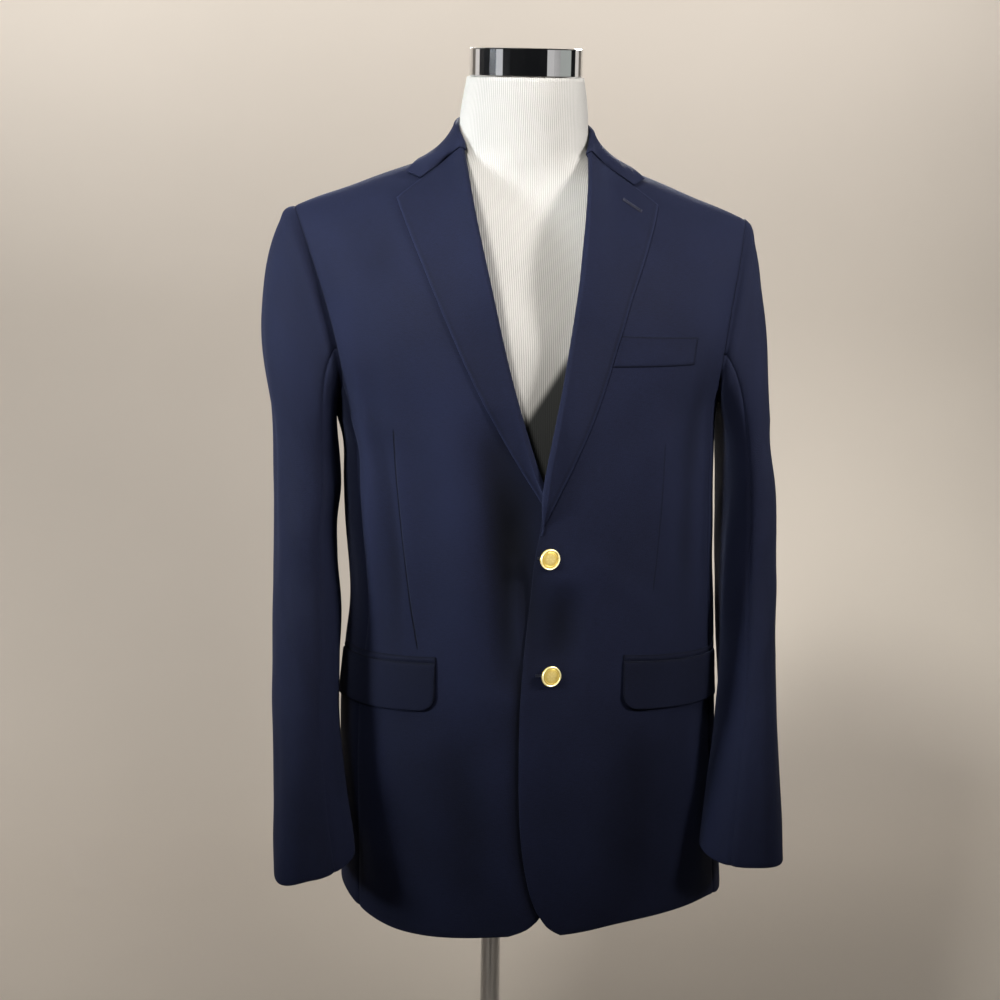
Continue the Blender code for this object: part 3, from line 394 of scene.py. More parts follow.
# Nodes of a material. A sum, difference or product of outputs and numbers is a Math node, and
# every other node is made by add().
class Socket:
    """One output of a shader node, with the sums and products that are used here."""

    def __init__(self, tree, output):
        self.tree = tree
        self.output = output

    def maths(self, operation, *others, first=None):
        """Math node of this output and others, or of a first number and this output."""
        values = [self, *others] if first is None else [first, self]
        return add(self.tree, "Math", *values, operation=operation)

    def __add__(self, other):
        return self.maths("ADD", other)

    def __radd__(self, other):
        return self.maths("ADD", other)

    def __sub__(self, other):
        return self.maths("SUBTRACT", other)

    def __rsub__(self, other):
        return self.maths("SUBTRACT", first=other)

    def __mul__(self, other):
        return self.maths("MULTIPLY", other)

    def __rmul__(self, other):
        return self.maths("MULTIPLY", other)

    def sine(self):
        """Sine of the value, in radians."""
        return self.maths("SINE")

    def size(self):
        """The value without its sign."""
        return self.maths("ABSOLUTE")

    def between(self, low, high):
        """0 below low, 1 above high, and 3t^2 - 2t^3 between."""
        return add(self.tree, "MapRange", self, low, high, 0.0, 1.0, interpolation_type="SMOOTHSTEP")

    def mix(self, colour_a, colour_b):
        """First colour where the value is 0, second where it is 1."""
        return add(self.tree, "Mix", factor=self, a=colour_a, b=colour_b)


def add(tree, kind, *values, output=0, factor=None, a=None, b=None, **settings):
    """Make one shader node, set its settings and plug numbers, colours or sockets into it."""
    node = tree.nodes.new("ShaderNode" + kind)
    if kind == "Mix":
        node.data_type = "RGBA"
        output = 2
    for setting, value in settings.items():
        setattr(node, setting, value)
    plugs = list(zip(node.inputs, values))
    if kind == "Mix":
        plugs = [(node.inputs[0], factor), (node.inputs[6], a), (node.inputs[7], b)]
    for socket, value in plugs:
        if isinstance(value, Socket):
            tree.links.new(value.output, socket)
        elif value is not None:
            socket.default_value = value
    return Socket(tree, node.outputs[output])


def new_material(name, colour, **constants):
    """Principled material with its constant values set on its own sockets."""
    material = bpy.data.materials.new(name)
    material.use_nodes = True
    material.diffuse_color = colour
    shader = material.node_tree.nodes["Principled BSDF"]
    shader.inputs["Base Color"].default_value = colour
    for label, value in constants.items():
        shader.inputs[label.replace("_", " ")].default_value = value
    return material, material.node_tree, shader


def plug(shader, label, socket):
    """Link an output to a named socket of the shader."""
    socket.tree.links.new(socket.output, shader.inputs[label])


def uv_pair(tree, name):
    """A UV map as a vector, and its two parts as values in metres."""
    vector = add(tree, "UVMap", uv_map=name)
    return vector, *[add(tree, "SeparateXYZ", vector, output=i) for i in (0, 1)]


def bump(tree, height, distance):
    """Relief of a value: its height of 1 stands for a distance in metres."""
    return add(tree, "Bump", 1.0, distance, None, height)


NAVY = (0.0043, 0.0056, 0.0158, 1.0)
DARK_NAVY = tuple(0.06 * c for c in NAVY[:3]) + (1.0,)
PALE_NAVY = (NAVY[0] * 1.75, NAVY[1] * 1.72, NAVY[2] * 1.62, 1.0)
TWILL = 0.00085               # pitch of the twill's ribs
DART_LINE = (0.0003, 0.0011)  # half widths of a dart's seam, dark and with its soft sides
DART_ENDS = (0.47, 0.50)      # where it fades, as shares of its length from the middle
DART_SHADE = 0.75
DEEPEST_SHADE = 0.85          # how much darker the cloth is where the dim attribute is 1


def wool(name, darts=()):
    """Worsted twill: steep diagonal ribs, short slubs along the weft, a faint cloudiness, and the
    fine closed seams of the darts, each (u1, v1, u2, v2, bow, depth) in the piece's own plan."""
    material, tree, shader = new_material(
        name, NAVY, Roughness=0.72, Specular_IOR_Level=0.07, Sheen_Weight=0.045,
        Sheen_Roughness=0.40, Sheen_Tint=(0.42, 0.52, 1.0, 1.0))
    weave, u, v = uv_pair(tree, "weave")
    fine = add(tree, "TexNoise", weave, None, 900.0, 3.0, 0.6, noise_dimensions="2D")
    cloud = add(tree, "TexNoise", weave, None, 9.0, 3.0, 0.55, noise_dimensions="2D")
    stretched = add(tree, "Mapping", weave, None, None, (150.0, 1100.0, 1.0))
    slub = add(tree, "TexNoise", stretched, None, 1.0, 2.0, 0.6, noise_dimensions="2D")
    ribs = ((u * 0.89 + v * 0.45) * (2 * np.pi / TWILL) + fine * 2.2).sine()
    lines = None
    if darts:
        plan, across, up = uv_pair(tree, "plan")
        for u1, v1, u2, v2, bow, depth in darts:
            t = (up - v1) * (1 / (v2 - v1))
            centre = t * (u2 - u1) + u1 + t * (1 - t) * (4 * bow)
            away = (across - centre).size()
            inside = (t - 0.5).size()
            line = (1 - away.between(*DART_LINE)) * (1 - inside.between(*DART_ENDS)) * depth
            lines = line if lines is None else lines + line
    shade = fine * 0.75 + slub * 0.65 + cloud * 0.5 + ribs * 0.12 + 0.24
    if lines is not None:
        shade = shade * (1 - lines * DART_SHADE)
    # Painted shade: the dim attribute darkens the colour in folds, seams, laps and along borders, and
    # below 0 it lightens the colour on ridges and edges as painted light.
    dim = add(tree, "Attribute", output=2, attribute_name="dim")
    shade = shade * (1 - dim * DEEPEST_SHADE)
    plug(shader, "Base Color", shade.between(0.0, 2.0).mix(DARK_NAVY, PALE_NAVY))
    plug(shader, "Roughness", cloud * 0.16 + 0.70)
    relief = ribs * 0.35 + fine * 0.9 + slub * 0.6
    if lines is not None:
        relief = relief - lines * 5.0
    plug(shader, "Normal", bump(tree, relief, 0.00016))
    return material


WOOL = wool("navy_wool")


def finished(name, mesh, material):
    """Put a mesh in the scene as a piece that rides on the part's one body."""
    mesh.materials.append(material)
    mesh.shade_smooth()
    piece = bpy.data.objects.new(name, mesh)
    bpy.context.scene.collection.objects.link(piece)
    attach(piece, "root")
    return piece


def give_uv(mesh, name, values):
    """UV map that gives each face corner the pair of values of its point."""
    layer = mesh.uv_layers.new(name=name)
    corner = np.empty(len(mesh.loops), dtype=np.int32)
    mesh.loops.foreach_get("vertex_index", corner)
    layer.data.foreach_set("uv", np.ascontiguousarray(values[corner], dtype=np.float32).ravel())


def run_lengths(points):
    """Metres along the rows from the middle column, and up the columns from the first row."""
    over = np.linalg.norm(np.diff(points, axis=1), axis=-1)
    across = np.concatenate([np.zeros((points.shape[0], 1)), np.cumsum(over, 1)], 1)
    up = np.linalg.norm(np.diff(points, axis=0), axis=-1)
    along = np.concatenate([np.zeros((1, points.shape[1])), np.cumsum(up, 0)], 0)
    return np.stack([across - across[:, points.shape[1] // 2][:, None], along], -1)


def outward_from(points):
    """Unit direction out of the grid at each point of the loop round its border."""
    right = points[:, -1] - points[:, -2]
    left = points[:, 0] - points[:, 1]
    top = points[-1] - points[-2]
    bottom = points[0] - points[1]
    lead = [bottom, right[1:], top[-2::-1], left[-2:0:-1]]
    return unit(np.concatenate(lead))


def grid_faces(index):
    """Four-cornered faces between the rows and columns of a grid of point numbers."""
    corners = [index[:-1, :-1], index[:-1, 1:], index[1:, 1:], index[1:, :-1]]
    return np.stack(corners, -1).reshape(-1, 4)


TURNED = 0.85                 # bulge of a turned edge, as a share of half the wall
BUTTED = 0.12                 # the same for an edge that meets another piece
EDGE_TURNS = np.radians([45, 90, 135])


def cloth(name, outer, inner, material=WOOL, plan=None, rim=TURNED, butted=(), dim=None):
    """Wall of cloth between two grids. Its edges are half ellipses, c + h cos(a) + e r sin(a) with r
    a share of half the wall, nearly flat where they are butted, at the top row or side columns. dim
    is how far an outer point lies in the shade of a fold, from 0 to 1, or below 0 on an edge."""
    rows, columns = outer.shape[:2]
    count = rows * columns
    index = np.arange(count).reshape(rows, columns)
    loop = np.concatenate([index[0, :], index[1:, -1], index[-1, -2::-1], index[-2:0:-1, 0]])
    flat_outer = outer.reshape(-1, 3)
    flat_inner = inner.reshape(-1, 3)
    away = outward_from(outer)
    centre = (flat_outer[loop] + flat_inner[loop]) / 2
    half = (flat_outer[loop] - flat_inner[loop]) / 2
    fullness = np.full((len(loop), 1), rim)
    if "sides" in butted:
        fullness[columns:columns + rows - 2] = BUTTED
        fullness[2 * columns + rows - 1:] = BUTTED
    if "top" in butted:
        fullness[columns + rows - 1:2 * columns + rows - 3] = BUTTED
    radius = np.linalg.norm(half, axis=1, keepdims=True) * fullness
    bands = []
    for turn in EDGE_TURNS:
        bands.append(centre + half * np.cos(turn) + away * radius * np.sin(turn))
    points = np.concatenate([flat_outer, flat_inner, *bands])
    quads = grid_faces(index)
    faces = [quads, quads[:, ::-1] + count]
    chain = [loop] + [2 * count + i * len(loop) + np.arange(len(loop)) for i in range(3)] + [loop + count]
    for near, far in zip(chain[:-1], chain[1:]):
        faces.append(np.stack([np.roll(near, -1), near, far, np.roll(far, -1)], -1))
    faces = np.concatenate(faces)
    lead = np.cross(outer[0, 1] - outer[0, 0], outer[1, 0] - outer[0, 0])
    if np.dot(lead, outer[0, 0] - inner[0, 0]) < 0:
        faces = faces[:, ::-1]
    mesh = bpy.data.meshes.new(name)
    mesh.from_pydata(points.tolist(), [], faces.tolist())
    weave = run_lengths(outer).reshape(-1, 2)
    give_uv(mesh, "weave", np.concatenate([weave, weave, *[weave[loop]] * 3]))
    if plan is not None:
        plan = plan.reshape(-1, 2)
        give_uv(mesh, "plan", np.concatenate([plan, plan, *[plan[loop]] * 3]))
    # The dim values paint shade into the wool's colour, and painted light where they are below 0.
    if dim is not None:
        dim = np.broadcast_to(dim, (rows, columns)).ravel()
        values = np.concatenate([dim, 0 * dim, *[dim[loop]] * 3])
        mesh.attributes.new("dim", "FLOAT", "POINT").data.foreach_set("value", values)
    return finished(name, mesh, material)


# Front edges: from the rounded corner at the hem up to the buttons, then along the lapel's fold.
LEFT_EDGE = np.array([
    # height  across
    [0.725,   0.0130],
    [0.731,   0.0040],
    [0.7454, -0.0069],
    [0.765,  -0.0150],
    [0.788,  -0.0203],
    [0.830,  -0.0255],
    [0.880,  -0.0272],
    [0.930,  -0.0265],
    [0.982,  -0.0243],
    [1.045,  -0.0180],
    [1.086,  -0.0124],
    [1.127,  -0.0079],
    [1.150,  -0.0035],
    [1.208,   0.0035],
    [1.260,   0.0135],
    [1.312,   0.0240],
    [1.377,   0.0362],
    [1.440,   0.0462],
    [1.480,   0.0528],
    [1.512,   0.0585]])
RIGHT_EDGE = np.array([
    # height  across
    [0.725,  -0.0400],
    [0.729,  -0.0265],
    [0.735,  -0.0165],
    [0.7454, -0.0069],
    [0.765,   0.0035],
    [0.790,   0.0110],
    [0.840,   0.0185],
    [0.900,   0.0225],
    [0.980,   0.0245],
    [1.060,   0.0245],
    [1.120,   0.0230],
    [1.150,   0.0195],
    [1.208,  -0.0040],
    [1.264,  -0.0198],
    [1.312,  -0.0312],
    [1.377,  -0.0442],
    [1.440,  -0.0545],
    [1.480,  -0.0588],
    [1.512,  -0.0612]])
FOLD_BACK = 0.0025            # the lapel's roll stands this far beyond the front's edge
FOLD_START = (1.16, 1.22)     # the heights between which it comes out from it
NECK_CUT = 0.0130             # how far the front is cut back at the neck
NECK_START = 1.45             # the height where that begins
LAP_AIR = 0.0012              # space between the two fronts where they lap
LAP_EDGE = (0.035, 0.105)     # distances across between which the left one comes down beside it
LAP_TOP = (1.22, 1.40)        # and the heights between which it does so above the buttons
LAPEL_LAP = (1.07, 1.13, 1.25, 1.36)     # heights where the fold lifts it more: from, full, to, end
PRESSED = 0.0004              # how much thinner a pressed edge is
PRESSED_HALF = 0.004          # half width of the pressed strip
# Each side's darts: two ends as distance across and height, bow, and depth of colour.
DARTS = {1: [(0.1232, 1.2387, 0.1115, 1.0850, 0.002, 0.35)],
         -1: [(-0.1408, 1.2516, -0.1242, 1.0244, -0.003, 0.9)]}
SEAM_SHADE = 0.75             # shade in the seams of a front
SEAM_LINE = 0.0016            # half width of that line
LAP_SHADE = 0.65              # shade of the left front on the right one
LAP_REACH = 0.008             # half width of that shade
LAP_SHADE_END = (0.98, 1.06)  # the heights between which it fades out


def left_front_lift(across, height):
    """How far the left front stands off the body: a wall and some air over the right front, and as
    much again over the right lapel's fold."""
    lap = 1 - ease(*LAP_EDGE, across)
    over_lapel = ease(*LAPEL_LAP[:2], height) * (1 - ease(*LAPEL_LAP[2:], height))
    over_front = 1 - ease(*LAP_TOP, height)
    return lap * (over_front + over_lapel) * (CLOTH + LAP_AIR)


def front_point(side, angle, height, above=0.0):
    """Placed point at a height above a front's outer face, folds included."""
    across = body_skin(angle, height)[..., 0]
    lift = left_front_lift(across, height) if side > 0 else 0.0
    return hang(body_point(angle, height, lift + body_folds(angle, height) + above))


def on_front(side, across, height, above=0.0):
    """The same for a point that is given by its distance from the middle."""
    return front_point(side, angle_of(across, height), height, above)


def build_front(name, side):
    """Panel between its front edge and its seams, outer face on the folded skin, inner face one
    wall below it, sunk at the seams and pressed thin at the edge."""
    edge = LEFT_EDGE if side > 0 else RIGHT_EDGE

    def inner_line(up):
        """The edge, behind the lapel's fold and cut back at the neck."""
        behind_fold = FOLD_BACK * ease(*FOLD_START, up) + NECK_CUT * ease(NECK_START, NECK_POINT[1], up)
        return smooth_table(edge, 1, up) + side * behind_fold

    across, height = panel(FRONT_SCYE, FRONT_SEAM - HALF_SEAM, inner_line, NECK_POINT[1], False, 64, side)
    angle = angle_of(across, height)
    height = height + hem_rise(angle, height)
    across = body_skin(angle, height)[..., 0]
    flat = front_point(side, angle, height)
    dip = -SEAM_DIP * bell(from_edges(flat, ["last"], ["last"]), SEAM_HALF)
    pressed = -PRESSED * bell(from_edges(flat, ["first"], ["first"]), PRESSED_HALF)
    outer = front_point(side, angle, height, dip + pressed)
    inner = front_point(side, angle, height, -CLOTH)
    plan = np.stack([across, height], -1)
    seams = bell(from_edges(flat, ["last"], ["last"]), SEAM_LINE)
    dim = fold_shade(angle, height) + SEAM_SHADE * seams
    if side < 0:
        beyond = np.clip(smooth_table(LEFT_EDGE, 1, height) - across, 0, None)
        dim = dim + LAP_SHADE * bell(beyond, LAP_REACH) * (1 - ease(*LAP_SHADE_END, height))
    dim = np.clip(dim, -1, 1)
    piece = cloth(name, outer, inner, wool("navy_wool_" + name, DARTS[side]), plan, dim=dim)
    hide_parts(name)


build_front("front_left", 1)
build_front("front_right", -1)


# ---------------------------------------------------------------- side panels
# One panel of the same wool under each arm, from the hem up to the armhole. Two long seams join
# it to the front and the back, and it takes in the waist.

BACK_SEAM = 110.0             # degrees round from the front's middle to the back


def body_wall(name, angle, height, dip):
    """Wall whose outer face is skin + folds + dip, and whose inner face is skin + folds - wall."""
    folds = body_folds(angle, height)
    outer = hang(body_point(angle, height, folds + dip))
    inner = hang(body_point(angle, height, folds - CLOTH))
    piece = cloth(name, outer, inner, dim=fold_shade(angle, height))
    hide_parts(name)
    return piece


def build_side(name, side):
    """Columns at equal angles between the two seams, each one up to the armhole above it."""
    angle = np.linspace(FRONT_SEAM + HALF_SEAM, BACK_SEAM - HALF_SEAM, 34)[None, :]
    top = np.where(angle < 90, armhole_height(angle), armhole_height(angle, behind=True))
    below = BELOW[:, None] + 0 * angle
    height = np.concatenate([below, BELOW[-1] + (top - BELOW[-1]) * UP_TO_SCYE[:, None]])
    angle = side * np.broadcast_to(angle, height.shape)
    height = height + hem_rise(angle, height)
    dip = -SEAM_DIP * bell(from_edges(body_skin(angle, height), [], ["first", "last"]), SEAM_HALF)
    piece = body_wall(name, angle, height, dip)


build_side("side_left", 1)
build_side("side_right", -1)


# ---------------------------------------------------------------- backs
# Two halves of the same wool with a seam down the middle that follows the waist. They are sewn to
# the side panels, the shoulders and the collar's stand, and have no vent.

BACK_SCYE = float(armhole_height(BACK_SEAM, behind=True))


def build_back(name, side):
    """Panel between the middle seam and the side panel's seam, sunk at its seams."""
    across, height = panel(BACK_SCYE, BACK_SEAM + HALF_SEAM, lambda z: side * SEAM / 2 + 0 * z,
                           neck_height(0.0), True, 52, side)
    angle = angle_of(across, height, behind=True)
    height = height + hem_rise(angle, height)
    dip = -SEAM_DIP * bell(from_edges(body_skin(angle, height), ["last"], ["first", "last"]), SEAM_HALF)
    piece = body_wall(name, angle, height, dip)


build_back("back_left", 1)
build_back("back_right", -1)


# ---------------------------------------------------------------- lapels
# The top of each front with its facing, turned out over a soft roll and pressed down on the chest.
# The collar is sewn to its straight top, the gorge, and a notch is left open between the two.

PLY = 0.0010                  # space between a piece and the one that lies on it
LAPEL_EDGE = np.array([
    # height  left     right
    [1.1500, -0.0035, -0.0195],
    [1.1640,  0.0015, -0.0100],
    [1.1840,  0.0107,  0.0018],
    [1.2250,  0.0302,  0.0262],
    [1.2700,  0.0500,  0.0500],
    [1.3100,  0.0652,  0.0692],
    [1.3440,  0.0765,  0.0836],
    [1.3767,  0.0882,  0.0967],
    [1.4100,  0.1028,  0.1094],
    [1.4400,  0.1165,  0.1205],
    [1.4655,  0.1275,  0.1290]])
LAPEL_START = 1.152           # height where the lapel begins
LAPEL_TOP = 1.4655            # height of the lapel's point
GORGE_UP = 1.5140             # height where the fold meets the collar
GORGE_GAP = 0.00015           # half the space between lapel and collar
ROLL_RADIUS = 0.0026          # of the fold, which grows from 0.35 of it and halves at the top
BELLY = 0.0026                # how far the lapel springs up beside its fold
BELLY_FADE = 3.2              # how fast that dies away towards the edge
LAPEL_PRESS = 0.0005          # how much thinner its edge is pressed
NORMAL_STEP = 0.004           # step along which the front's directions are read
RIM_LINE = (0.22, 0.0032)     # shade of the line inside the edge, and its distance from it
RIM_LIGHT = 0.45              # light on the edge itself
RIM_HALF = 0.0012             # half width of both
LAPEL_TOPS = {}               # each lapel's top, for the collar's ends: roll, face, distance across


def build_lapel(name, side):
    """Rows from the fold to the edge, laid on the front by a lift that eases from two radii down to
    a wall and a ply of air, and a half circle of the roll's radius that turns in at the fold."""
    share = 1 - (1 - np.linspace(0, 1, 120)) ** 1.25
    fold_up = LAPEL_START + (GORGE_UP - LAPEL_START) * share
    edge_up = LAPEL_START + (LAPEL_TOP - LAPEL_START) * share
    start = smooth_table(LEFT_EDGE if side > 0 else RIGHT_EDGE, 1, fold_up) + side * FOLD_BACK
    edge = smooth_table(LAPEL_EDGE, 1 if side > 0 else 2, edge_up) * side
    over = np.linspace(0, 1, 40)[None, :]
    across = start[:, None] + (edge - start)[:, None] * over
    height = fold_up[:, None] + (edge_up - fold_up)[:, None] * over
    height = height - ease(0.85, 1.0, share)[:, None] * GORGE_GAP
    grow = ease(0.0, 0.10, share)[:, None]
    flatter = 1 - 0.5 * ease(0.72, 1.0, share)[:, None]
    radius = ROLL_RADIUS * (0.35 + 0.65 * grow) * flatter
    low_down = 1 + 1.3 * (1 - ease(0.1, 0.45, share))
    belly = BELLY * np.exp(-over * BELLY_FADE) * grow * low_down[:, None]
    lift = 2 * radius - CLOTH + belly - ease(0.0, 0.9, over) * (2 * radius - CLOTH - PLY - CLOTH) * grow
    lift = np.maximum(lift, CLOTH * 0.6)
    press = -LAPEL_PRESS * bell(1 - over, 0.05)
    face = on_front(side, across, height, lift + press)
    under = on_front(side, across, height, lift - CLOTH)
    ground = on_front(side, across[:, :1], height[:, :1], 0.0)
    normal = unit(on_front(side, across[:, :1], height[:, :1], NORMAL_STEP) - ground)
    inward = unit(on_front(side, across[:, :1] - side * NORMAL_STEP, height[:, :1], 0.0) - ground)
    turns = np.radians(np.linspace(180, 0, 15)[:-1])[None, :, None]
    top = np.linalg.norm(face[:, :1] - ground, axis=-1, keepdims=True)
    outer_radius = (top + CLOTH) / 2
    centre = ground + normal * (top - outer_radius)
    inner_radius = np.maximum(outer_radius - CLOTH, 0.0002)
    curl_outer = centre + normal * outer_radius * np.cos(turns) + inward * outer_radius * np.sin(turns)
    curl_inner = centre + normal * inner_radius * np.cos(turns) + inward * inner_radius * np.sin(turns)
    outer = np.concatenate([curl_outer, face], 1)
    inner = np.concatenate([curl_inner, under], 1)
    LAPEL_TOPS[side] = (curl_outer[-1], face[-1], across[-1])
    from_rim = from_edges(outer, ["last"], ["last"])
    edge_line = RIM_LINE[0] * bell(from_rim - RIM_LINE[1], RIM_HALF) - RIM_LIGHT * bell(from_rim, RIM_HALF)
    piece = cloth(name, outer, inner, butted=["top"], dim=edge_line)
    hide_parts(name)


build_lapel("lapel_left", 1)
build_lapel("lapel_right", -1)


# ---------------------------------------------------------------- collar
# One band of the same wool over an undercollar: its stand goes up from the neck seam, and its fall
# comes over the fold and lies on the shoulders. Each end is sewn to a lapel as far as the notch.

COLLAR = np.array([
    # share  fold: out, depth, up          seam: out, depth, up        edge: out, depth
    [0.00,   0.0000,  0.0780, 1.5450,   0.0000,  0.0770, 1.5225,   0.0000,  0.1030],
    [0.18,   0.0275,  0.0715, 1.5445,   0.0280,  0.0715, 1.5220,   0.0380,  0.0970],
    [0.36,   0.0500,  0.0520, 1.5430,   0.0520,  0.0540, 1.5200,   0.0690,  0.0770],
    [0.52,   0.0628,  0.0250, 1.5412,   0.0670,  0.0260, 1.5160,   0.0885,  0.0470],
    [0.68,   0.0682, -0.0080, 1.5345,   0.0705, -0.0020, 1.5125,   0.0965,  0.0110],
    [0.85,   0.0646, -0.0290, 1.5230,   0.0685, -0.0260, 1.5080,   0.1065, -0.0110],
    [1.00,   0.0612, -0.0480, 1.5130,   0.0640, -0.0440, 1.5040,   0.1175, -0.0310]])
NOTCH = (0.1050, 1.4810)      # inner corner of the notch: distance across, height
COLLAR_TIP = (0.1175, 1.4868)
FOLD_RADIUS = 0.0018
COLLAR_REST = 0.0034          # height of the fall's outer face above the jacket
COLLAR_HOLLOW = 0.0036        # how far the fall is hollow between fold and edge
COLLAR_THIN = 0.8             # its wall as a share of the cloth's
NOTCH_SHARE = 0.78            # part of the collar's end that is sewn to the lapel
END_SHARE = 0.18              # part of the collar's half over which it turns into its end
END_FADE = 1.6                # how late in that part it turns


def over_shoulder(across, depth, lift):
    """Point above the skin at a place in plan: twelve rounds of height = ridge - roll (1 - sqrt(1 -
    s^2)), with s the depth as a share of the ring's reach at that height."""
    height = ridge_height(across) - 0.01
    back = depth > RIDGE_Y
    roll = np.where(back, BACK_ROLL, FRONT_ROLL)
    for _ in range(12):
        half = half_width(across, height)
        square = smooth_table(BODY_RINGS, 5, height)
        reach = np.where(back, smooth_table(BODY_RINGS, 4, height), smooth_table(BODY_RINGS, 3, height))
        reach = reach * (1 - np.abs(across / half) ** square) ** (1 / square)
        swell = np.clip(np.abs(depth - RIDGE_Y) / reach, 0.02, 0.999)
        height = ridge_height(across) - roll * (1 - np.sqrt(1 - swell ** 2))
    angle = np.where(back, angle_of(across, height, behind=True), angle_of(across, height))
    return body_point(angle, height, lift)


def collar_end(side, turns, parts):
    """Points of the collar's end: along the lapel's top edge to the notch, then to its own tip."""
    roll, face, across = LAPEL_TOPS[side]
    where = np.linspace(0, 1, len(roll))
    around = np.stack([np.interp(turns, where, roll[:, i]) for i in range(3)], -1)
    reach = np.abs(across)
    sewn = reach[0] + (NOTCH[0] - reach[0]) * np.clip(parts / NOTCH_SHARE, 0, 1)
    along = np.stack([np.interp(sewn, reach, face[:, i]) for i in range(3)], -1)
    tip = np.array(COLLAR_TIP)
    tip = hang(body_point(angle_of(side * tip[0], tip[1]), tip[1], COLLAR_REST))
    free = np.clip((parts - NOTCH_SHARE) / (1 - NOTCH_SHARE), 0, 1)[:, None]
    along = along + (tip - along) * free
    lift = np.array([0.0, 0.0, GORGE_GAP])
    return np.concatenate([around, along]) + lift


def build_collar(name):
    """Rows up the stand, round the fold as a half circle and down the fall to its edge, and then
    both ends moved on to their lapels, less and less away from them."""
    share = np.linspace(-1, 1, 201)
    side = np.sign(share)
    reach = np.abs(share)
    read = [smooth_table(COLLAR, column, reach) for column in range(1, 9)]
    fold = np.stack([read[0] * side, read[1], read[2]], -1)
    seam = np.stack([read[3] * side, read[4], read[5]], -1)
    edge = over_shoulder(read[6] * side, read[7], COLLAR_REST)
    away = unit((edge - seam) * np.array([1, 1, 0]))
    up = np.array([0.0, 0.0, 1.0])
    centre = fold - up * FOLD_RADIUS
    top = centre - away * FOLD_RADIUS
    rows = [seam + (top - seam) * t for t in np.linspace(0, 1, 10)[:-1]]
    stand = len(rows)
    turns = np.linspace(0, 1, 11)[:-1]
    for turn in np.pi * (1 - turns):
        rows.append(centre + FOLD_RADIUS * (np.cos(turn) * away + np.sin(turn) * up))
    start = centre + FOLD_RADIUS * away
    parts = np.linspace(0, 1, 34)
    for part in parts:
        hollow = COLLAR_HOLLOW * np.sin(np.pi * part ** 0.85) * ease(0.30, 0.55, reach)[:, None]
        rows.append(start + (edge - start) * part - away * hollow)
    grid = np.stack(rows)
    fall = stand + len(turns)
    ground = over_shoulder(grid[fall:, :, 0], grid[fall:, :, 1], COLLAR_REST)[..., 2]
    near = ground < NECK_POINT[1] + 0.002
    grid[fall:, :, 2] = np.where(near & (grid[fall:, :, 2] < ground), ground, grid[fall:, :, 2])
    grid = hang(grid)
    for direction, column in ((-1, 0), (1, -1)):
        target = collar_end(direction, turns, parts)
        shift = np.zeros((len(grid), 3))
        shift[stand:] = target - grid[stand:, column]
        shift[:stand] = shift[stand] * np.linspace(0, 1, stand)[:, None]
        fade = np.clip(1 - (1 - share * direction) / END_SHARE, 0, 1)[None, :, None] ** END_FADE
        grid += shift[:, None] * fade
    normal = unit(np.cross(np.gradient(grid, axis=0), np.gradient(grid, axis=1)))
    pressed = PRESSED * bell(from_edges(grid, ["last"], []), 0.003)
    outer = grid - normal * pressed[..., None]
    piece = cloth(name, outer, grid - normal * CLOTH * COLLAR_THIN, butted=["sides"])
    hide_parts(name)


build_collar("collar")


# ---------------------------------------------------------------- sleeves
# Sleeves of the same wool, each a top and an under sleeve joined by two long seams. Their heads are
# eased into the armholes with a light rope, and they hang with a slight forward bend.

SLEEVE_RINGS = np.array([
    # height  half_depth  square   left: out, half width, depth   right: out, half width, depth
    [0.760,   0.0505,     2.80,    0.2075,  0.0462, -0.1150,     0.2351,  0.0430, -0.1000],
    [0.820,   0.0545,     2.60,    0.2120,  0.0421, -0.1000,     0.2360,  0.0410, -0.0870],
    [0.860,   0.0575,     2.50,    0.2154,  0.0394, -0.0880,     0.2377,  0.0380, -0.0765],
    [0.900,   0.0605,     2.40,    0.2186,  0.0356, -0.0760,     0.2386,  0.0358, -0.0660],
    [0.940,   0.0634,     2.35,    0.2223,  0.0319, -0.0632,     0.2394,  0.0345, -0.0556],
    [1.000,   0.0675,     2.30,    0.2266,  0.0278, -0.0440,     0.2369,  0.0352, -0.0400],
    [1.050,   0.0706,     2.32,    0.2280,  0.0275, -0.0325,     0.2347,  0.0347, -0.0300],
    [1.100,   0.0735,     2.35,    0.2304,  0.0273, -0.0210,     0.2334,  0.0330, -0.0200],
    [1.140,   0.0757,     2.35,    0.2312,  0.0263, -0.0150,     0.2316,  0.0328, -0.0150],
    [1.180,   0.0775,     2.35,    0.2310,  0.0245, -0.0090,     0.2274,  0.0353, -0.0100],
    [1.225,   0.0785,     2.35,    0.2272,  0.0227, -0.0050,     0.2266,  0.0349, -0.0060],
    [1.300,   0.0800,     2.35,    0.2305,  0.0227,  0.0000,     0.2294,  0.0349,  0.0000]])
CUFF = {1: 0.7990, -1: 0.7930}      # height of a cuff, on the wearer's left (1) and right (-1)
CUFF_SLANT = {1: 0.004, -1: 0.007}  # how far the outside of a cuff hangs below its middle
CUFF_LEAD = {1: 0.0, -1: 0.36}      # how much fuller the outer half of a cuff's front is
LEAD_END = 1.0                # height where that fullness has gone
SLEEVE_CLEAR = 0.0045         # least space between a sleeve and the body
SLEEVE_SOFT = 0.0015          # how softly that limit sets in
CAP_END = 1.222               # height where a sleeve's head has turned into its tube
CAP_SLANT = 0.035             # how far its outside stands above its middle there
SLEEVE_HEAD = {
    # fullness, how far it leans out at first and at last, swell past the seam and its softness
    # in metres, on the wearer's left (1) and right (-1)
    1: (0.180, 0.475, 0.103, 0.0014, 0.0065),
    -1: (0.165, 0.834, -0.133, 0.0036, 0.0074)}
FORE_SEAM = 112.0             # degrees round a sleeve to its seam in front
HIND_SEAM = 246.0             # and behind
SLEEVE_ROUND = 0.05           # radius of a sleeve at its seams
SEAM_TURN = np.degrees(SEAM / 2 / SLEEVE_ROUND)
ROPE = (0.0016, 0.009, 0.007)       # rope of the head: height, distance from the seam, half width
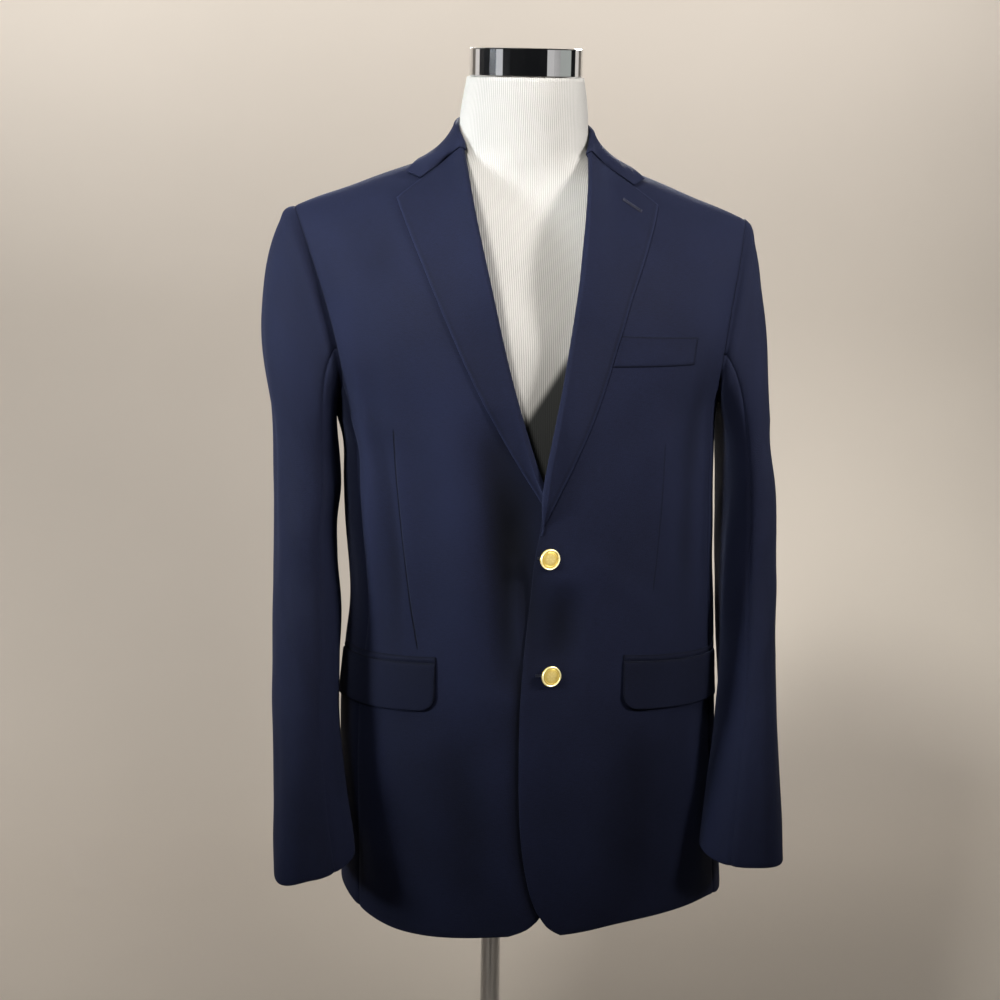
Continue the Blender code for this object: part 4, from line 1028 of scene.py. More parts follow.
RIPPLE = (0.0003, 0.010, 0.010)     # the same for the gathers beside it
HEAD_DIP = (0.0008, 0.003)    # how far the head sinks into its seam, and half width
TUCK = (0.0009, 0.0024)       # how far its edge tucks in: below the skin, and towards the body
TUCK_WALL = 0.0006            # thickness of that edge

# Soft folds of a sleeve, like the body's, in degrees round from its outside, 90 being its front.
SLEEVE_FOLDS = np.array([
    # turn1    height1  turn2    height2  half    rise     bow
    [38.0,     1.370,   52.0,    1.080,   0.013,   0.0030, -4.0],
    [72.0,     1.380,   80.0,    1.120,   0.014,  -0.0026,  3.0],
    [20.0,     1.330,   28.0,    1.050,   0.010,  -0.0016,  0.0],
    [60.0,     1.120,   100.0,   1.020,   0.014,  -0.0022,  0.0],
    [48.0,     1.080,   92.0,    0.975,   0.012,   0.0020,  0.0],
    [78.0,     1.010,   70.0,    0.800,   0.016,   0.0020,  0.0],
    [30.0,     0.990,   36.0,    0.790,   0.015,  -0.0018,  0.0],
    [300.0,    1.400,   288.0,   1.180,   0.014,  -0.0040,  0.0],
    [318.0,    1.390,   312.0,   1.150,   0.012,   0.0030,  0.0],
    [262.0,    1.250,   300.0,   1.170,   0.012,   0.0030,  0.0],
    [256.0,    1.190,   306.0,   1.080,   0.013,  -0.0030,  0.0],
    [150.0,    1.180,   170.0,   1.020,   0.014,   0.0022,  0.0],
    [190.0,    1.140,   200.0,   0.930,   0.014,  -0.0024,  0.0],
    [270.0,    1.040,   292.0,   0.860,   0.014,   0.0024,  0.0],
    [232.0,    1.000,   240.0,   0.800,   0.012,  -0.0022,  0.0]])


def beside_body(point, side):
    """Push points nearer to the body than SLEEVE_CLEAR out from it: s ln(1 + e^((c - d) / s))."""
    square = smooth_table(BODY_RINGS, 5, point[..., 2])
    depth = np.where(point[..., 1] < 0, smooth_table(BODY_RINGS, 3, point[..., 2]),
                     smooth_table(BODY_RINGS, 4, point[..., 2]))
    sizes = np.stack([half_width(side, point[..., 2]), depth], -1)
    share = np.abs(point[..., :2]) / sizes
    reach = np.sum(share ** square[..., None], -1) ** (1 / square)
    slope = share ** (square[..., None] - 1) * (reach ** (1 - square))[..., None] / sizes
    steep = np.linalg.norm(slope, axis=-1)
    push = SLEEVE_SOFT * np.log1p(np.exp((SLEEVE_CLEAR - (reach - 1) / steep) / SLEEVE_SOFT))
    moved = point.copy()
    moved[..., :2] += np.sign(point[..., :2]) * slope * (push / steep)[..., None]
    return moved


def sleeve_ring(turn, height, slant, side):
    """Ring of the hanging sleeve: 0 degrees is its outside, 90 its front, 180 by the body."""
    cosine = np.cos(np.radians(turn))
    sine = np.sin(np.radians(turn))
    level = height + slant * cosine
    own = 3 if side > 0 else 6
    square = smooth_table(SLEEVE_RINGS, 2, level)
    half = smooth_table(SLEEVE_RINGS, own + 1, level)
    deep = smooth_table(SLEEVE_RINGS, 1, level)
    out = smooth_table(SLEEVE_RINGS, own, level) + half * signed_power(cosine, 2 / square)
    lead = CUFF_LEAD[side] * (1 - ease(CUFF[side], LEAD_END, level)) * cosine * (sine > 0)
    back = smooth_table(SLEEVE_RINGS, own + 2, level) - deep * signed_power(sine, 2 / square) * (1 + lead)
    return beside_body(np.stack([out, back, level], -1), side)


def armhole_ring(turn):
    """The armhole at a turn round the sleeve, and the outward direction of the body there."""
    turn = np.mod(turn, 360.0)
    height = UNDERARM + (SHOULDER[1] - UNDERARM) * (1 + np.cos(np.radians(turn))) / 2
    behind = turn > 180
    angle = np.where(behind, armhole_angle(height, behind=True), armhole_angle(height))
    skin = body_point(angle, height)
    return skin, body_point(angle, height, 1.0) - skin


def sleeve_skin(turn, part, side):
    """Head from the armhole (part 0) to the tube (1), a cubic Bezier curve at each turn, and then
    rings down to the cuff (2)."""
    turn = np.broadcast_to(turn, part.shape)
    cosine = np.cos(np.radians(turn))
    skin, normal = armhole_ring(turn)
    outward = np.array([1.0, 0.0, 0.0])
    upward = np.array([0.0, 0.0, 1.0])
    head = ((1 + cosine) / 2)[..., None]
    full, first_lean, last_lean = SLEEVE_HEAD[side][:3]
    start = skin + outward * (0.0012 - 0.0006 * head) + normal * 0.0006
    lean = unit(normal * 3.0 * head * (1 - head) + outward * (0.10 + (first_lean - 0.10) * head) - upward)
    end = sleeve_ring(turn, np.full(part.shape, CAP_END), CAP_SLANT, side)
    length = np.linalg.norm(end - start, axis=-1, keepdims=True)
    t = np.clip(part, 0, 1)[..., None]
    first = start + lean * length * (full + 0.06 * (1 - head))
    second = end + (upward - outward * last_lean * head) * length * 0.46
    cap = (1 - t) ** 3 * start + 3 * (1 - t) ** 2 * t * first + 3 * (1 - t) * t * t * second + t ** 3 * end
    below = np.clip(part - 1, 0, 1)
    height = CAP_END + (CUFF[side] - CAP_END) * below
    slant = CAP_SLANT + (-CUFF_SLANT[side] - CAP_SLANT) * below
    tube = sleeve_ring(turn, height, slant, side)
    return np.where(part[..., None] <= 1, cap, tube)


def sleeve_folds(point, side):
    """Sum of the sleeve's folds, of the same formula as the body's, and slow crossed waves."""
    total = UNEVEN * np.sin(point[..., 2] * 57 + point[..., 1] * 40) * np.sin(point[..., 1] * 75 + side)
    for turn1, up1, turn2, up2, half, rise, bow in SLEEVE_FOLDS:
        ends = []
        for turn, up in ((turn1, up1), (turn2, up2), ((turn1 + turn2) / 2 + bow, (up1 + up2) / 2)):
            part = 2 - (up - CUFF[side]) / (CAP_END - CUFF[side])
            if up > CAP_END:
                part = max(0.0, 1 - (up - CAP_END) / (SHOULDER[1] - CAP_END))
            ends.append(sleeve_skin(np.array([turn]), np.array([part]), side)[0])
        distance, t = along_fold(point, ends[0], ends[1], ends[2] - (ends[0] + ends[1]) / 2)
        total = total + rise * bell(distance, half) * np.sin(np.pi * t) ** FOLD_BLUNT
    return total


def build_sleeve(name, side, first, last, columns):
    """Sleeve skin between two turns, with the rope, swell and folds along its normal, and a first
    row that tucks into the armhole. It is worked out on the left and mirrored to the right."""
    turn = np.linspace(first, last, columns)[None, :]
    cap = np.linspace(0, 1, 58) ** 1.15
    part = np.concatenate([cap, np.linspace(1, 2, 78)[1:]])[:, None] + 0 * turn
    turn = turn + 0 * part
    point = sleeve_skin(turn, part, side)
    ahead = sleeve_skin(turn, np.minimum(part + 0.01, 2.0), side)
    behind = sleeve_skin(turn, np.maximum(part - 0.01, 0.0), side)
    round_sleeve = sleeve_skin(turn + 0.5, part, side) - sleeve_skin(turn - 0.5, part, side)
    normal = unit(np.cross(behind - ahead, round_sleeve))
    from_head = from_edges(point, ["first"])
    head = ((1 + np.cos(np.radians(turn))) / 2) ** 0.7
    swell, soft = SLEEVE_HEAD[side][3:]
    rope = ROPE[0] * head * bell(from_head - ROPE[1], ROPE[2])
    rope = rope + RIPPLE[0] * head * np.sin(turn * 1.05) * bell(from_head - RIPPLE[1], RIPPLE[2])
    rope = rope + swell * head * (1 - np.exp(-from_head / soft)) * (1 - ease(0.65, 1.0, part))
    folds = sleeve_folds(point, side) * ease(0.004, 0.035, from_head)
    dip = -SEAM_DIP * bell(from_edges(point, [], ["first", "last"]), SEAM_HALF)
    dip = dip - HEAD_DIP[0] * bell(from_head, HEAD_DIP[1])
    mirror = np.array([side, 1, 1])
    outer = point + normal * (rope + folds + dip)[..., None]
    inner = point + normal * (rope + folds - CLOTH)[..., None]
    skin, facing = armhole_ring(turn[0])
    tuck = skin - facing * TUCK[0] - np.array([TUCK[1], 0.0, 0.0])
    outer = np.concatenate([tuck[None], outer])
    inner = np.concatenate([(tuck - facing * TUCK_WALL)[None], inner])
    piece = cloth(name, hang(outer * mirror), hang(inner * mirror))
    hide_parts(name)
    "front_" + name.split("_")[2]


for label, hand in (("left", 1), ("right", -1)):
    build_sleeve("sleeve_top_" + label, hand, HIND_SEAM - 360 + SEAM_TURN, FORE_SEAM - SEAM_TURN, 76)
    build_sleeve("sleeve_under_" + label, hand, FORE_SEAM + SEAM_TURN, HIND_SEAM - SEAM_TURN, 56)


# ---------------------------------------------------------------- flap pockets
# Hip pockets of the same wool: a jet is sewn along each mouth and a flap is caught below it, which
# is rounded at its front corner and hangs a little free of the front.

FLAP_LENGTH = 0.142
FLAP_DEPTH = 0.050
FLAP_FALL = 0.016             # how far the pocket's line falls towards the side
FLAP_TOP = {"left": (0.0800, 1.0175), "right": (-0.1070, 1.0150)}   # its front end: across, height
FLAP_CORNER = 0.015           # radius of the rounded corner
FLAP_FREE = 0.0016            # how far the flap's lower edge stands off
JET = 0.0060                  # height of a jet
JET_LIFT = 0.0004             # its space from the front
JET_WALL = 0.0014             # its thickness
STRIP_RIM = 0.6               # bulge of a strip's edges, as a share of half its wall
STRIP_PRESS = (0.0006, 0.0018)      # how much thinner a strip is at its edges, and half width
STRIP_SHADE = (0.28, 0.35)    # shade of the whole strip, and more along its border
STRIP_LINE = 0.0008           # half width of that line


def angle_along(start, side, height, distance):
    """Angle round the body at a distance along a ring from a starting angle, towards a side."""
    angles = start + side * np.linspace(0, 90, 900)
    ring = body_skin(angles, np.full(angles.shape, height))
    run = np.concatenate([[0], np.cumsum(np.linalg.norm(np.diff(ring, axis=0), axis=1))])
    return np.interp(distance, run, angles)


def pocket_strip(name, side, inner, top, distance, down, low, thick):
    """Strip along a pocket: distances from its inner end, and heights below its line."""
    angle = angle_along(float(angle_of(inner, top)), side, top, distance)
    height = top - FLAP_FALL * distance / FLAP_LENGTH - down
    skin = body_skin(angle, height)
    rolled = -STRIP_PRESS[0] * bell(from_edges(skin, ["first", "last"], ["first"]), STRIP_PRESS[1])
    outer = front_point(side, angle, height, low + thick + rolled)
    under = front_point(side, angle, height, low)
    border = from_edges(outer, ["first", "last"], ["first", "last"])
    shade = STRIP_SHADE[0] + STRIP_SHADE[1] * bell(border, STRIP_LINE)
    piece = cloth(name, outer, under, rim=STRIP_RIM, dim=shade)
    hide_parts(name)
    "front_" + name.split("_")[1]


for label, hand in (("left", 1), ("right", -1)):
    pocket_in, pocket_up = FLAP_TOP[label]
    down = (np.linspace(0, 1, 40) ** 0.9)[:, None] * FLAP_DEPTH
    into_corner = np.clip(down - (FLAP_DEPTH - FLAP_CORNER), 0, FLAP_CORNER)
    start_at = FLAP_CORNER - np.sqrt(FLAP_CORNER ** 2 - into_corner ** 2)
    along = start_at + (FLAP_LENGTH - start_at) * np.linspace(0, 1, 80)[None, :] ** 1.2
    wave = 1 + 0.5 * np.sin(along * 52 + hand)
    free = PLY + FLAP_FREE * (down / FLAP_DEPTH) ** 1.5 * wave * np.exp(-along * 6)
    pocket_strip("flap_" + label, hand, pocket_in, pocket_up, along, down + 0 * along, free, CLOTH)
    jet_down = np.linspace(-SEAM - JET, -SEAM, 9)[:, None]
    jet_along = FLAP_LENGTH * np.linspace(0, 1, 70)[None, :] + 0 * jet_down
    pocket_strip("jet_" + label, hand, pocket_in, pocket_up, jet_along, jet_down + 0 * jet_along,
                 JET_LIFT, JET_WALL)


# ---------------------------------------------------------------- chest welt
# Slanting welt of the wearer's left chest pocket: a strip of the same wool, folded double and sewn
# to the front along its bottom and at both ends, with fine stitches beside the lapel.

WELT_INNER = (1.3465, 1.3173)       # heights of its two corners beside the lapel
WELT_OUTER = ((0.1590, 1.3426), (0.1549, 1.3163))
WELT_CLEAR = 0.0006           # its space from the lapel's edge
WELT_THICK = 0.0012
WELT_LIFT = 0.0003            # its space from the front before it is pressed
WELT_UNDER = 0.0002           # height of its inner face
WELT_ENDS = 0.0025            # half width of the strip that is pressed flat at an end
WELT_FOOT = (0.8, 0.0015)     # the same along the bottom: how flat, and half width
WELT_PRESS = 0.0006           # how far pressing takes it down
WELT_MOUTH = (0.0006, 0.006)  # how far its mouth stands up, and half width
STITCHES = (0.0022, 0.0004)   # distance of the stitches from the end, and half width
WELT_BORDER = (0.55, 0.0010)  # shade round its border, and half width
STITCH_LIGHT = 0.5
STITCH_WAVES = 60             # radians of the sine that breaks the line into single stitches


def build_welt(name):
    """Grid between four corners on the front, sunk where it is sewn and raised at its mouth, with
    the stitches' light and the border's shade in its dim values."""
    right = np.linspace(0, 1, 44)[None, :, None]
    low = np.linspace(0, 1, 22)[:, None, None]
    inner = [np.array([float(smooth_table(LAPEL_EDGE, 1, up)) + WELT_CLEAR, up]) for up in WELT_INNER]
    top = inner[0] * (1 - right) + np.array(WELT_OUTER[0]) * right
    bottom = inner[1] * (1 - right) + np.array(WELT_OUTER[1]) * right
    spot = top * (1 - low) + bottom * low
    flat = on_front(1, spot[..., 0], spot[..., 1])
    sewn = bell(from_edges(flat, [], ["first", "last"]), WELT_ENDS)
    sewn = sewn + WELT_FOOT[0] * bell(from_edges(flat, ["last"]), WELT_FOOT[1])
    mouth = WELT_MOUTH[0] * bell(from_edges(flat, ["first"]), WELT_MOUTH[1])
    lift = WELT_LIFT + WELT_THICK + mouth - WELT_PRESS * np.clip(sewn, 0, 1)
    outer = on_front(1, spot[..., 0], spot[..., 1], lift)
    under = on_front(1, spot[..., 0], spot[..., 1], WELT_UNDER)
    stitch = bell(from_edges(outer, [], ["first"]) - STITCHES[0], STITCHES[1])
    stitch = stitch * (np.sin(low[..., 0] * STITCH_WAVES) > 0)
    border = bell(from_edges(outer, ["first", "last"], ["first", "last"]), WELT_BORDER[1])
    dim = WELT_BORDER[0] * border - STITCH_LIGHT * stitch
    piece = cloth(name, outer, under, rim=STRIP_RIM, dim=dim)
    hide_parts(name)


build_welt("chest_welt")


# ---------------------------------------------------------------- buttonholes
# Worked buttonholes: twisted thread laid in close stitches over both sides of a slit, with a bar at
# each end. One is in the left lapel, and two are in the left front, behind the buttons.

THREAD = 0.00042              # radius of the thread of a bar
FINE_THREAD = 0.62            # that of a stitch, as a share of it
STITCH_PITCH = 0.00062
STITCH_LEGS = ((0.00012, 0.0002), (0.0005, 0.00052), (0.0010, 0.00042), (0.0013, 0.0))
BAR_SPOTS = (-0.0013, -0.0006, 0.0, 0.0006, 0.0013)
BAR_OUT = 0.0002              # how far a bar lies beyond the slit's end
BAR_LIFT = 0.0003
BUTTONHOLES = {
    # name: first and last end as distance across and height, height of the ground, colour gain
    "lapel_buttonhole": ((0.0911, 1.4700), (0.1078, 1.4597), CLOTH + PLY + 0.0001, 1.9),
    "buttonhole_top": ((-0.0058, 1.1280), (0.0140, 1.1280), 0.0, 0.8),
    "buttonhole_bottom": ((-0.0095, 1.0070), (0.0140, 1.0070), 0.0, 1.6)}


def thread_material(name, gain):
    """Slightly shiny thread: the wool's colour times a gain, mixed with 0.6 of itself by a grain."""
    colour = tuple(min(1.0, c * gain + 0.004 * gain) for c in NAVY[:3]) + (1.0,)
    material, tree, shader = new_material(name, colour, Roughness=0.55, Specular_IOR_Level=0.4)
    vector = add(tree, "TexCoord", output=3)
    grain = add(tree, "TexNoise", vector, None, 1800.0, 2.0, 0.5)
    dark = tuple(c * 0.6 for c in colour[:3]) + (1.0,)
    plug(shader, "Base Color", grain.mix(dark, colour))
    return material


def ring_faces(index):
    """Four-cornered faces between rings of point numbers, each ring closed on itself."""
    onward = np.roll(index, -1, 1)
    return np.stack([index[:-1], onward[:-1], onward[1:], index[1:]], -1).reshape(-1, 4).tolist()


def tube(path, radius, sides):
    """Points and faces of a closed-ended tube: p + r (u cos(a) + v sin(a)) at each point p."""
    path = np.asarray(path)
    forward = unit(np.gradient(path, axis=0))
    aside = unit(np.cross(forward, np.array([0.31, 0.17, 0.93])))
    above = np.cross(aside, forward)
    turn = np.linspace(0, 2 * np.pi, sides, endpoint=False)
    ring = np.cos(turn)[None, :, None] * aside[:, None] + np.sin(turn)[None, :, None] * above[:, None]
    size = np.broadcast_to(radius, len(path))[:, None, None]
    points = (path[:, None] + ring * size).reshape(-1, 3)
    index = np.arange(len(points)).reshape(len(path), sides)
    return points, ring_faces(index) + [index[0, ::-1].tolist(), index[-1].tolist()]


def joined(name, parts, material):
    """One mesh from several sets of points and faces."""
    points = []
    faces = []
    for more_points, more_faces in parts:
        faces += [[i + len(points) for i in face] for face in more_faces]
        points += np.asarray(more_points).tolist()
    mesh = bpy.data.meshes.new(name)
    mesh.from_pydata(points, [], faces)
    return finished(name, mesh, material)


def build_buttonhole(name, start, end, above, gain):
    """Stitches as short arched tubes, in a row on each side of the slit, and a bar across each end."""
    start = np.array(start)
    end = np.array(end)
    length = np.linalg.norm(end - start)
    along = (end - start) / length
    aside = np.array([-along[1], along[0]])
    parts = []
    for row in (-1, 1):
        for step in np.arange(0.0, length, STITCH_PITCH):
            legs = []
            for reach, rise in STITCH_LEGS:
                spot = start + along * (step + 0.0001 * np.sin(step * 9000 + row)) + aside * row * reach
                legs.append(on_front(1, spot[0], spot[1], above + rise))
            parts.append(tube(legs, THREAD * FINE_THREAD, 5))
    for end_spot, direction in ((start, -1), (end, 1)):
        bar = [end_spot + along * direction * BAR_OUT + aside * spot for spot in BAR_SPOTS]
        parts.append(tube([on_front(1, x, z, above + BAR_LIFT) for x, z in bar], THREAD, 6))
    joined(name, parts, thread_material(name + "_thread", gain))


for label, (first_end, last_end, ground_up, thread_gain) in BUTTONHOLES.items():
    build_buttonhole(label, first_end, last_end, ground_up, thread_gain)


# ---------------------------------------------------------------- buttons
# Two stamped and gilded metal buttons with a raised rim, a beaded ring and a plain eight-petal
# rosette. Each is sewn to the right front by its shank, which goes through the buttonhole and
# tilts it a little.

BUTTON_ACROSS = 0.0045        # distance of their middle across the front
BUTTON_HEIGHTS = {"button_top": 1.128, "button_bottom": 1.007}
BUTTON_RADIUS = 0.0105
BUTTON_DEPTH = 0.0034
BUTTON_TILT = (0.30, 0.0, 0.06)     # added to the direction that the front faces
BUTTON_LIFT = 0.0011          # height of a button's back above the cloth
SHANK_RADIUS = 0.0019
SHANK_INTO = (0.0012, 0.0006) # how far the shank goes into the cloth and into the button
# Relief on the face, as shares of the depth and the radius: height, distance out and half width.
PETALS = (0.05, 0.34, 0.16)
HEART = (0.05, 0.0, 0.10)
BEADS = (0.05, 0.69, 0.035)
PETAL_COUNT = 8
BEAD_COUNT = 36
FACE_ROWS = 9                 # rows of the table that belong to the face
BUTTON_RINGS = np.array([
    # radius  height
    [0.000,   0.76],
    [0.100,   0.76],
    [0.560,   0.73],
    [0.640,   0.68],
    [0.690,   0.74],
    [0.740,   0.68],
    [0.800,   0.66],
    [0.860,   0.92],
    [0.915,   1.00],
    [0.960,   0.94],
    [0.990,   0.78],
    [1.000,   0.55],
    [0.985,   0.30],
    [0.900,   0.12],
    [0.600,   0.04],
    [0.000,   0.02]])


GILT_LOW = (0.62, 0.44, 0.08, 1.0)
GILT_HIGH = (1.0, 0.90, 0.50, 1.0)


def gilt():
    """Polished yellow metal, darker in the hollows of the design: mixed by the height of the relief,
    with a roughness of 0.24 plus a fine grain."""
    material, tree, shader = new_material("gilt", (1.0, 0.82, 0.30, 1.0), Metallic=0.45, Roughness=0.30)
    height = add(tree, "Attribute", output=2, attribute_name="relief")
    vector = add(tree, "TexCoord", output=3)
    grain = add(tree, "TexNoise", vector, None, 2600.0, 3.0, 0.6)
    bright = height.between(0.66, 1.00)
    plug(shader, "Base Color", bright.mix(GILT_LOW, GILT_HIGH))
    plug(shader, "Roughness", grain * 0.16 + 0.24)
    return material


GILT = gilt()


def build_button(name, up):
    """Rings r, h of the table, turned round the shank; on the face h grows by three bells of r: the
    petals' times |cos 4a|^0.6, the heart's, and the beads' times (1 + cos 36a) / 2."""
    along = np.linspace(0, 1, 96)
    keys = np.linspace(0, 1, len(BUTTON_RINGS))
    radius = np.interp(along, keys, BUTTON_RINGS[:, 0])
    height = np.interp(along, keys, BUTTON_RINGS[:, 1])
    face = along < keys[FACE_ROWS]
    sides = 144
    turn = np.linspace(0, 2 * np.pi, sides, endpoint=False)[None, :]
    share = radius[:, None]
    petals, heart, beads = [size * bell(share - out, half) for size, out, half in (PETALS, HEART, BEADS)]
    petals = petals * np.abs(np.cos(PETAL_COUNT / 2 * turn)) ** 0.6
    beads = beads * (0.5 + 0.5 * np.cos(BEAD_COUNT * turn))
    rise = height[:, None] + np.where(face[:, None], petals + heart + beads, 0.0)
    local = np.stack([share * np.cos(turn) * BUTTON_RADIUS, share * np.sin(turn) * BUTTON_RADIUS,
                      rise * BUTTON_DEPTH], -1)
    seat = on_front(1, np.array(BUTTON_ACROSS), np.array(up), SEAM)
    facing = unit(on_front(1, np.array(BUTTON_ACROSS), np.array(up), SEAM + 0.01) - seat)
    tilt = unit(facing + np.array(BUTTON_TILT))
    right = unit(np.cross(np.array([0.0, 0.0, 1.0]), -tilt))
    over = np.cross(tilt, right)
    place = np.stack([right, over, tilt])
    points = local.reshape(-1, 3) @ place + seat + tilt * BUTTON_LIFT
    shank = np.array([seat - tilt * SHANK_INTO[0], seat + tilt * (BUTTON_LIFT + SHANK_INTO[1])])
    shank_points, shank_faces = tube(shank, SHANK_RADIUS, 16)
    count = len(points)
    faces = ring_faces(np.arange(count).reshape(len(along), sides))
    faces += [[i + count for i in corner] for corner in shank_faces]
    mesh = bpy.data.meshes.new(name)
    mesh.from_pydata(np.concatenate([points, shank_points]).tolist(), [], faces)
    relief = mesh.attributes.new("relief", "FLOAT", "POINT")
    relief.data.foreach_set("value", np.concatenate([rise.ravel(), np.full(len(shank_points), 0.6)]))
    piece = finished(name, mesh, GILT)
    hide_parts(name)


for label, up in BUTTON_HEIGHTS.items():
    build_button(label, up)


# ---------------------------------------------------------------- dress form
# Limbless torso and neck: a firm padded form with a cover of off-white ribbed jersey, pulled tight
# over it and closed below. It stands on the pole, and the jacket rests on its shoulders.

FORM_RINGS = np.array([
    # height  half_width  front   back    square  aside
    [0.800,   0.1650,    0.108,  0.104,  2.20,   0.0190],
    [0.830,   0.1760,    0.118,  0.110,  2.25,   0.0205],
    [0.900,   0.1800,    0.123,  0.106,  2.30,   0.0230],
    [1.000,   0.1700,    0.122,  0.092,  2.30,   0.0250],
    [1.090,   0.1610,    0.121,  0.082,  2.30,   0.0255],
    [1.180,   0.1660,    0.126,  0.086,  2.30,   0.0250],
    [1.260,   0.1740,    0.131,  0.097,  2.30,   0.0240],
    [1.330,   0.1840,    0.126,  0.101,  2.30,   0.0225],
    [1.385,   0.1920,    0.104,  0.089,  2.25,   0.0213],
    [1.425,   0.1960,    0.082,  0.073,  2.20,   0.0205],
    [1.450,   0.1900,    0.070,  0.062,  2.15,   0.0200],
    [1.466,   0.1715,    0.063,  0.058,  2.10,   0.0195],
    [1.480,   0.1367,    0.059,  0.056,  2.05,   0.0192],
    [1.492,   0.1012,    0.057,  0.056,  2.00,   0.0190],
    [1.506,   0.0722,    0.057,  0.058,  2.00,   0.0190],
    [1.525,   0.0660,    0.057,  0.059,  2.00,   0.0192],
    [1.550,   0.0640,    0.057,  0.058,  2.00,   0.0196],
    [1.570,   0.0612,    0.057,  0.057,  2.00,   0.0200],
    [1.585,   0.0584,    0.056,  0.056,  2.00,   0.0203]])
NECK_LEVEL = (1.49, 1.54)     # the heights between which the shoulders' tilt ends on the neck
RIB = 0.0021                  # pitch of the jersey's ribs
LOOP = 0.0016                 # pitch of the loops along a rib
BASE_ROUND = 0.0008           # rise of the bottom's last ring, just inside its rim
# Painted shade of the lapel on the bottom of the open neck: below v = slope u + level, in metres, the knit
# takes a dark colour.
NECK_SHADE = (1.53, 1.281)
NECK_SHADE_SOFT = (-0.004, 0.012)
PALE_KNIT = (0.31, 0.302, 0.290, 1.0)
GREY_KNIT = (0.085, 0.085, 0.087, 1.0)
# Colour of the knit in that painted shade.
SHADED_KNIT = (0.017, 0.018, 0.018, 1.0)


def jersey():
    """Off-white knit: narrow upright ribs with grey hollows, and small loops along each rib."""
    material, tree, shader = new_material(
        "jersey", (0.36, 0.35, 0.335, 1.0), Roughness=0.9, Specular_IOR_Level=0.2, Sheen_Weight=0.1,
        Sheen_Roughness=0.5, Sheen_Tint=(1.0, 0.98, 0.94, 1.0))
    knit, u, v = uv_pair(tree, "knit")
    wander = add(tree, "TexNoise", knit, None, 40.0, 2.0, 0.5, noise_dimensions="2D")
    fuzz = add(tree, "TexNoise", knit, None, 1500.0, 2.0, 0.6, noise_dimensions="2D")
    soft = add(tree, "TexNoise", knit, None, 12.0, 2.0, 0.5, noise_dimensions="2D")
    rib = ((u + wander * 0.0004) * (2 * np.pi / RIB)).sine() * 0.5 + 0.5
    loop = (v * (2 * np.pi / LOOP)).sine() * 0.5 + 0.5
    hollow = 1 - rib.between(0.02, 0.42)
    shade = hollow * (soft * 0.55 + 0.20) + fuzz * 0.10
    # Painted shade of the lapel at the bottom of the open neck.
    dim = (u * NECK_SHADE[0] + NECK_SHADE[1] - v).between(*NECK_SHADE_SOFT)
    knitted = shade.between(0.0, 1.0).mix(PALE_KNIT, GREY_KNIT)
    plug(shader, "Base Color", dim.mix(knitted, SHADED_KNIT))
    plug(shader, "Normal", bump(tree, rib.between(0.0, 0.8) + loop * 0.12 + fuzz * 0.15, 0.0003))
    return material


def build_form(name):
    """Rings x = w sin(a)^(2/n), y = -d cos(a)^(2/n), closed by smaller rings below and above."""
    rows = np.linspace(FORM_RINGS[0, 0], FORM_RINGS[-1, 0], 190)
    turn = np.linspace(-180, 180, 241)[None, :]
    height = rows[:, None] + 0 * turn
    half, front, back, square, aside = [smooth_table(FORM_RINGS, i, height) for i in range(1, 6)]
    cosine = np.cos(np.radians(turn))
    sine = np.sin(np.radians(turn))
    across = half * signed_power(sine, 2 / square)
    out = -np.where(cosine > 0, front, back) * signed_power(cosine, 2 / square)
    tilt = SHOULDER_TILT * across * ease(*TILT_HEIGHTS, height) * (1 - ease(*NECK_LEVEL, height))
    points = np.stack([across + aside, out, height - tilt], -1)
    middle = points[[0, -1], :, :].mean(1, keepdims=True)
    base = [middle[0] + (points[0] - middle[0]) * s for s in (0.02, 0.5, 0.9, 0.98)]
    base[-1][:, 2] += BASE_ROUND
    lid = [middle[1] + (points[-1] - middle[1]) * s for s in (0.98, 0.02)]
    points = np.concatenate([np.stack(base), points, np.stack(lid)])
    faces = grid_faces(np.arange(points.shape[0] * points.shape[1]).reshape(points.shape[:2]))
    mesh = bpy.data.meshes.new(name)
    mesh.from_pydata(points.reshape(-1, 3).tolist(), [], faces.tolist())
    step = np.linalg.norm(np.diff(points[..., :2], axis=1), axis=-1)
    around = np.concatenate([np.zeros((len(points), 1)), np.cumsum(step, 1)], 1)
    around = around - around[:, points.shape[1] // 2][:, None]
    give_uv(mesh, "knit", np.stack([around, points[..., 2]], -1).reshape(-1, 2))
    piece = finished(name, mesh, jersey())
    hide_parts(name)


build_form("form_torso")


# ---------------------------------------------------------------- neck cap, pole and foot
# Chromed steel: a cap that closes the neck, and a round pole that joins the torso to a flat foot
# plate. The solids keep their shape and get a material with faint brushing and smears.

CHROME_DARK = (0.74, 0.74, 0.75, 1.0)
CHROME_PALE = (0.86, 0.86, 0.87, 1.0)


def chrome():
    """Mirror with a roughness of two noises, broad and fine, and a grey that follows the broad one."""
    material, tree, shader = new_material("chrome", (0.80, 0.80, 0.81, 1.0), Metallic=1.0, Roughness=0.07)
    vector = add(tree, "TexCoord", output=3)
    smear = add(tree, "TexNoise", vector, None, 14.0, 4.0, 0.6)
    fine = add(tree, "TexNoise", vector, None, 600.0, 2.0, 0.5)
    plug(shader, "Roughness", smear * 0.10 + fine * 0.03 + 0.01)
    plug(shader, "Base Color", smear.mix(CHROME_DARK, CHROME_PALE))
    return material


CHROME = chrome()
for label in ("neck_cap", "pole", "foot"):
    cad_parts[label].data.materials.clear()
    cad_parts[label].data.materials.append(CHROME)


# ---------------------------------------------------------------- floor, light and camera
# Plain pale floor that rises into a backdrop, which is seen through from behind. Soft lights stand
# in front, at the sides, above and behind, the metal reflects two panels and three side lights,
# and three more lights fall on the backdrop.

